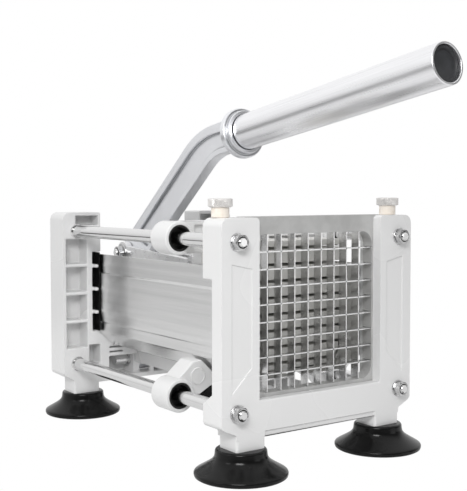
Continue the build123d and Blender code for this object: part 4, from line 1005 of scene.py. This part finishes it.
# ---- Suction feet: down the neck and the flare, around the rim and up into the hollow ----
FOOT_OUTLINE = ([(POST_BOTTOM, 0)] + arc((POST_BOTTOM - 1.5, 13.1), 1.5, 0, 90, 6) +
                [(12.2, 14.8), (11.2, 15.0), (10.3, 15.4), (9.4, 16.05), (8.6, 16.85), (7.9, 17.75),
                 (7.2, 18.75), (6.5, 19.85), (5.8, 21.0), (5.1, 22.2), (4.4, 23.45), (3.7, 24.7), (3.2, 25.55),
                 (2.8, 26.1), (2.3, 26.38), (1.4, 26.4), (0.5, 26.1), (0.05, 25.4), (0.0, 24.9), (0.35, 24.2),
                 (2.2, 19.5), (3.9, 14.0), (5.0, 8.0), (5.4, 3.0), (5.5, 0)])
for end, y in zip(("front", "rear"), FOOT_YS):
    for side, x in (("left", -FOOT_X), ("right", FOOT_X)):
        cup = laid(turned("cup", FOOT_OUTLINE, 96), Z_AXIS, (x, y, 0))
        put(f"cup_{end}_{side}", cup, rubber, "black_rubber", "frame", f"suction_foot_{end}_{side}")
stud = turned("stud", [(0, 0), (0, M5 - 0.4)] + thread(0.3, STUD_LENGTH - 0.3, M5, M5_PITCH, M5_CUT) +
              [(STUD_LENGTH, M5 - 0.4), (STUD_LENGTH, 0)], 32)
stud_places = [(x, y, POST_BOTTOM - STUD_RUBBER) for x in (-FOOT_X, FOOT_X) for y in FOOT_YS]
put_copies("cup_studs", stud, stud_places, *PLATED, "frame", "foot_studs")

# ---- Blades ----
row = {"Count": GRID_COUNT, "Pitch": GRID_PITCH, "Thickness": BLADE_THICKNESS, "Depth": BLADE_DEPTH,
       "Length": BLADE_LENGTH, "Ground Width": 2.2, "Edge Share": 0.12,
       "Place": (0, BLADE_MIDDLE_Y, OPENING_Z), "Material": blade_metal}
for name, node, turn in (("blades_upright", "vertical_blades", 0), ("blades_level", "horizontal_blades", 90)):
    data = grown(name, BLADE_ROW, {**row, "Turn": (0, math.radians(turn), 0)})
    put(name, data, blade_metal, "blade_steel", "blade_cassette", node)
screw = laid(socket_screw(head=3.0, head_height=1.7, shank=1.5, shank_length=4.1, key=1.3), -Y_AXIS)
corner_places = [(sx * CORNER_SCREW_REACH, CORNER_SCREW_SEAT, OPENING_Z + sz * CORNER_SCREW_REACH)
                 for sx in (-1, 1) for sz in (-1, 1)]
put_copies("corner_screws", screw, corner_places, *PLATED, "blade_cassette", "blade_frame_screws")


# ---- Thumb screws ----
def knob_cap():
    """Cap with a crowned top and a raised diamond knurl around it."""
    low, high = KNOB_LOW, KNOB_HIGH
    outline = [(low, 0), (low, 5.6), (low + 0.5, 6.4), (high - 0.8, 6.55)]
    outline += arc((high - 0.8, 5.75), 0.8, 90, 0, 4) + [(high, 4.6), (high - 0.35, 4.2), (high - 0.35, 0)]
    cap = turned("cap", outline)
    studs = grown("knurl", KNURL, {"Columns": 38, "Rows": 6, "Radius": 6.5, "Row Pitch": 0.68,
                                   "First Row": low + 0.9, "Diamond": 0.6, "Rise": 0.42,
                                   "Material": knob_metal})
    return joined("knob_cap", cap, studs)


SHANK_OUTLINE = [(COLUMN_TOP + height, radius) for height, radius in (
    (0.02, 0), (0.02, 4.7), (0.35, 5.0), (5.2, 5.0), (5.49, 4.7), (5.49, 0))]
BOLT_OUTLINE = ([(BOLT_LOW, 0), (BOLT_LOW, M5 - 0.4)] +
                thread(BOLT_LOW + 0.3, BOLT_HIGH - 0.3, M5, M5_PITCH, M5_CUT) +
                [(BOLT_HIGH, M5 - 0.3), (BOLT_HIGH, 0)])
for side, x in (("left", -THUMB_X), ("right", THUMB_X)):
    node = f"thumb_screw_{side}"
    for part, piece, material in (("cap", knob_cap(), knob_metal),
                                  ("collar", turned("shank", SHANK_OUTLINE), knob_collar),
                                  ("thread", turned("bolt", BOLT_OUTLINE), zinc)):
        put(f"knob_{part}_{side}", laid(piece, Z_AXIS, (x, THUMB_Y, 0)), material, "knob_metal", node, node)

# ---- Carriage bushes and pusher screws ----
bush = turned("bush", [(6.4, 4.04), (6.4, 6.2), (6.1, 6.5), (0.7, 6.5), (0.4, 6.8), (0.4, 7.5), (0.7, 7.8),
                       (15.6, 7.8), (16.0, 7.4), (16.0, 4.6), (15.5, 4.04)], closed=True)
put_copies("collar_bushes", laid(bush, Y_AXIS), [(x, CARRIAGE_Y, z) for x, z in ROD_PLACES], *BLACK_NYLON,
           "carriage", "carriage_bushings")
screw = laid(socket_screw(head=3.4, head_height=2.4, shank=2.0, shank_length=15.0, key=1.5, crown=0.6), Y_AXIS)
put_copies("pusher_bolts", screw, [(x, PLATE_REAR, z) for x, z in PUSHER_SCREWS], *PLATED, "carriage",
           "pusher_screws")


# ---- Handle ----
def handle_tube():
    """Tube with rolled rims; behind the socket lip it steps in and leaves a shadow gap."""
    outer, inner, end = HANDLE_RADIUS, HANDLE_RADIUS - HANDLE_WALL, HANDLE_LENGTH
    outline = [(-3.0, inner + 0.05), (-3.0, outer - 0.75), (0.1, outer - 0.75), (0.6, outer - 0.2),
               (0.9, outer)]
    outline += arc((end - 0.7, outer - 0.7), 0.7, 90, 0, 5) + arc((end - 0.5, inner + 0.5), 0.5, 0, -90, 4)
    return laid(turned("tube", outline, 96, closed=True), HANDLE_ALONG, HANDLE_ROOT)


def handle_plug():
    """Plug with a raised rim and a dished middle, just below the end of the tube."""
    radius, face = HANDLE_RADIUS - HANDLE_WALL, HANDLE_LENGTH - PLUG_INSET
    deep = face - PLUG_DEPTH
    outline = [(deep, 0), (deep, radius - 0.6), (deep + 0.6, radius - 0.02), (face - 0.3, radius - 0.02),
               (face, radius - 0.4), (face, radius - 1.6), (face - 0.4, radius - 2.0),
               (face - 1.2, radius - 2.2), (face - 1.5, radius - 2.8), (face - 1.5, 0)]
    return laid(turned("plug", outline, 96), HANDLE_ALONG, HANDLE_ROOT)


put("tube", handle_tube(), tube_metal, "brushed_tube", "lever", "handle_tube")
put("tube_plug", handle_plug(), plug, "dark_plug", "lever", "handle_plug")
grub_place = HANDLE_ROOT + HANDLE_ALONG * GRUB_PLACE + HANDLE_DOWN * (HANDLE_RADIUS - GRUB_SINK)
grub = socket_screw(head=2.0, head_height=1.2, shank=1.95, shank_length=5.75, key=1.05)
put("tube_grub_screw", laid(grub, HANDLE_DOWN, grub_place), *PLATED, "lever", "handle_screw")


# ---- Pivot shaft, link pins and their fasteners ----
def pin(half, radius, place, groove):
    """Chamfered pin along X with a groove for a ring near each end, from start to end off the middle."""
    start, end = groove
    side = [(half, 0), (half, radius - 0.6), (half - 0.6, radius), (end, radius), (end, radius - 0.45),
            (start, radius - 0.45), (start, radius)]
    outline = [(-height, reach) for height, reach in side] + side[::-1]
    return laid(turned("pin", outline, 48), X_AXIS, (0, *place))


put("pivot_bar", pin(SHAFT_HALF, SHAFT_RADIUS, PIVOT, SHAFT_GROOVE), *POLISHED, "frame", "pivot_shaft")
put("front_link_bar", pin(LINK_PIN_HALF, LINK_PIN_RADIUS, CARRIAGE_PIN, LINK_PIN_GROOVE), *POLISHED, "links",
    "carriage_link_pin")
stack = LINK_OUTER + WASHER + NUT_HEIGHT + THREAD_END
half_bolt = [(-stack, 0), (-stack, 2.4)] + thread(0.4 - stack, -LINK_OUTER - 1, LINK_PIN_RADIUS, 1.0, 0.35)
half_bolt.append((-LINK_OUTER, LINK_PIN_RADIUS))
bolt = turned("bolt", half_bolt + [(-height, radius) for height, radius in half_bolt[::-1]], 48)
put("elbow_bolt", laid(bolt, X_AXIS, (0, *LEVER_PIN)), *POLISHED, "lever", "lever_link_pin")


def both_sides(name, unit, x, place, material, slot, body, *nodes):
    """The same fastener on both sides of the middle, facing outwards."""
    right = laid(unit.copy(), X_AXIS, (x, *place))
    left = mirrored_mesh(right, name)
    return put(name, joined(name, left, right), material, slot, body, *nodes)


shaft_ring = retaining_ring(bore=3.6, radius=5.2, thickness=1.4, gap=40)
both_sides("ring_pair", shaft_ring, SHAFT_GROOVE[0], PIVOT, *PLATED, "frame", "shaft_rings")
spacer = flat_washer(radius=7.0, bore=4.05, thickness=0.3)
both_sides("hub_washers", spacer, 8.05, PIVOT, *PLATED, "frame", "hub_spacers")
washer = flat_washer(radius=6.4, bore=3.05, thickness=0.95)
both_sides("elbow_washers", washer, LINK_OUTER + 0.05, LEVER_PIN, *PLATED, "lever", "link_washers")
on_washer = LINK_OUTER + WASHER
both_sides("elbow_nuts", hexagon_nut(**LINK_NUT), on_washer, LEVER_PIN, *PLATED, "lever", "link_nuts")
insert = insert_ring(bore=3.02, radius=3.7)
in_nut = on_washer + NUT_HEIGHT - INSERT_RECESS
# painted shade: the black insert rings also give the dark ring around each bolt end
both_sides("elbow_nut_inserts", insert, in_nut, LEVER_PIN, *BLACK_NYLON, "lever")
clip = retaining_ring(bore=2.6, radius=5.0, thickness=0.95, gap=60)
both_sides("clip_pair", clip, LINK_OUTER + 0.02, CARRIAGE_PIN, *PLATED, "links", "pin_clips")
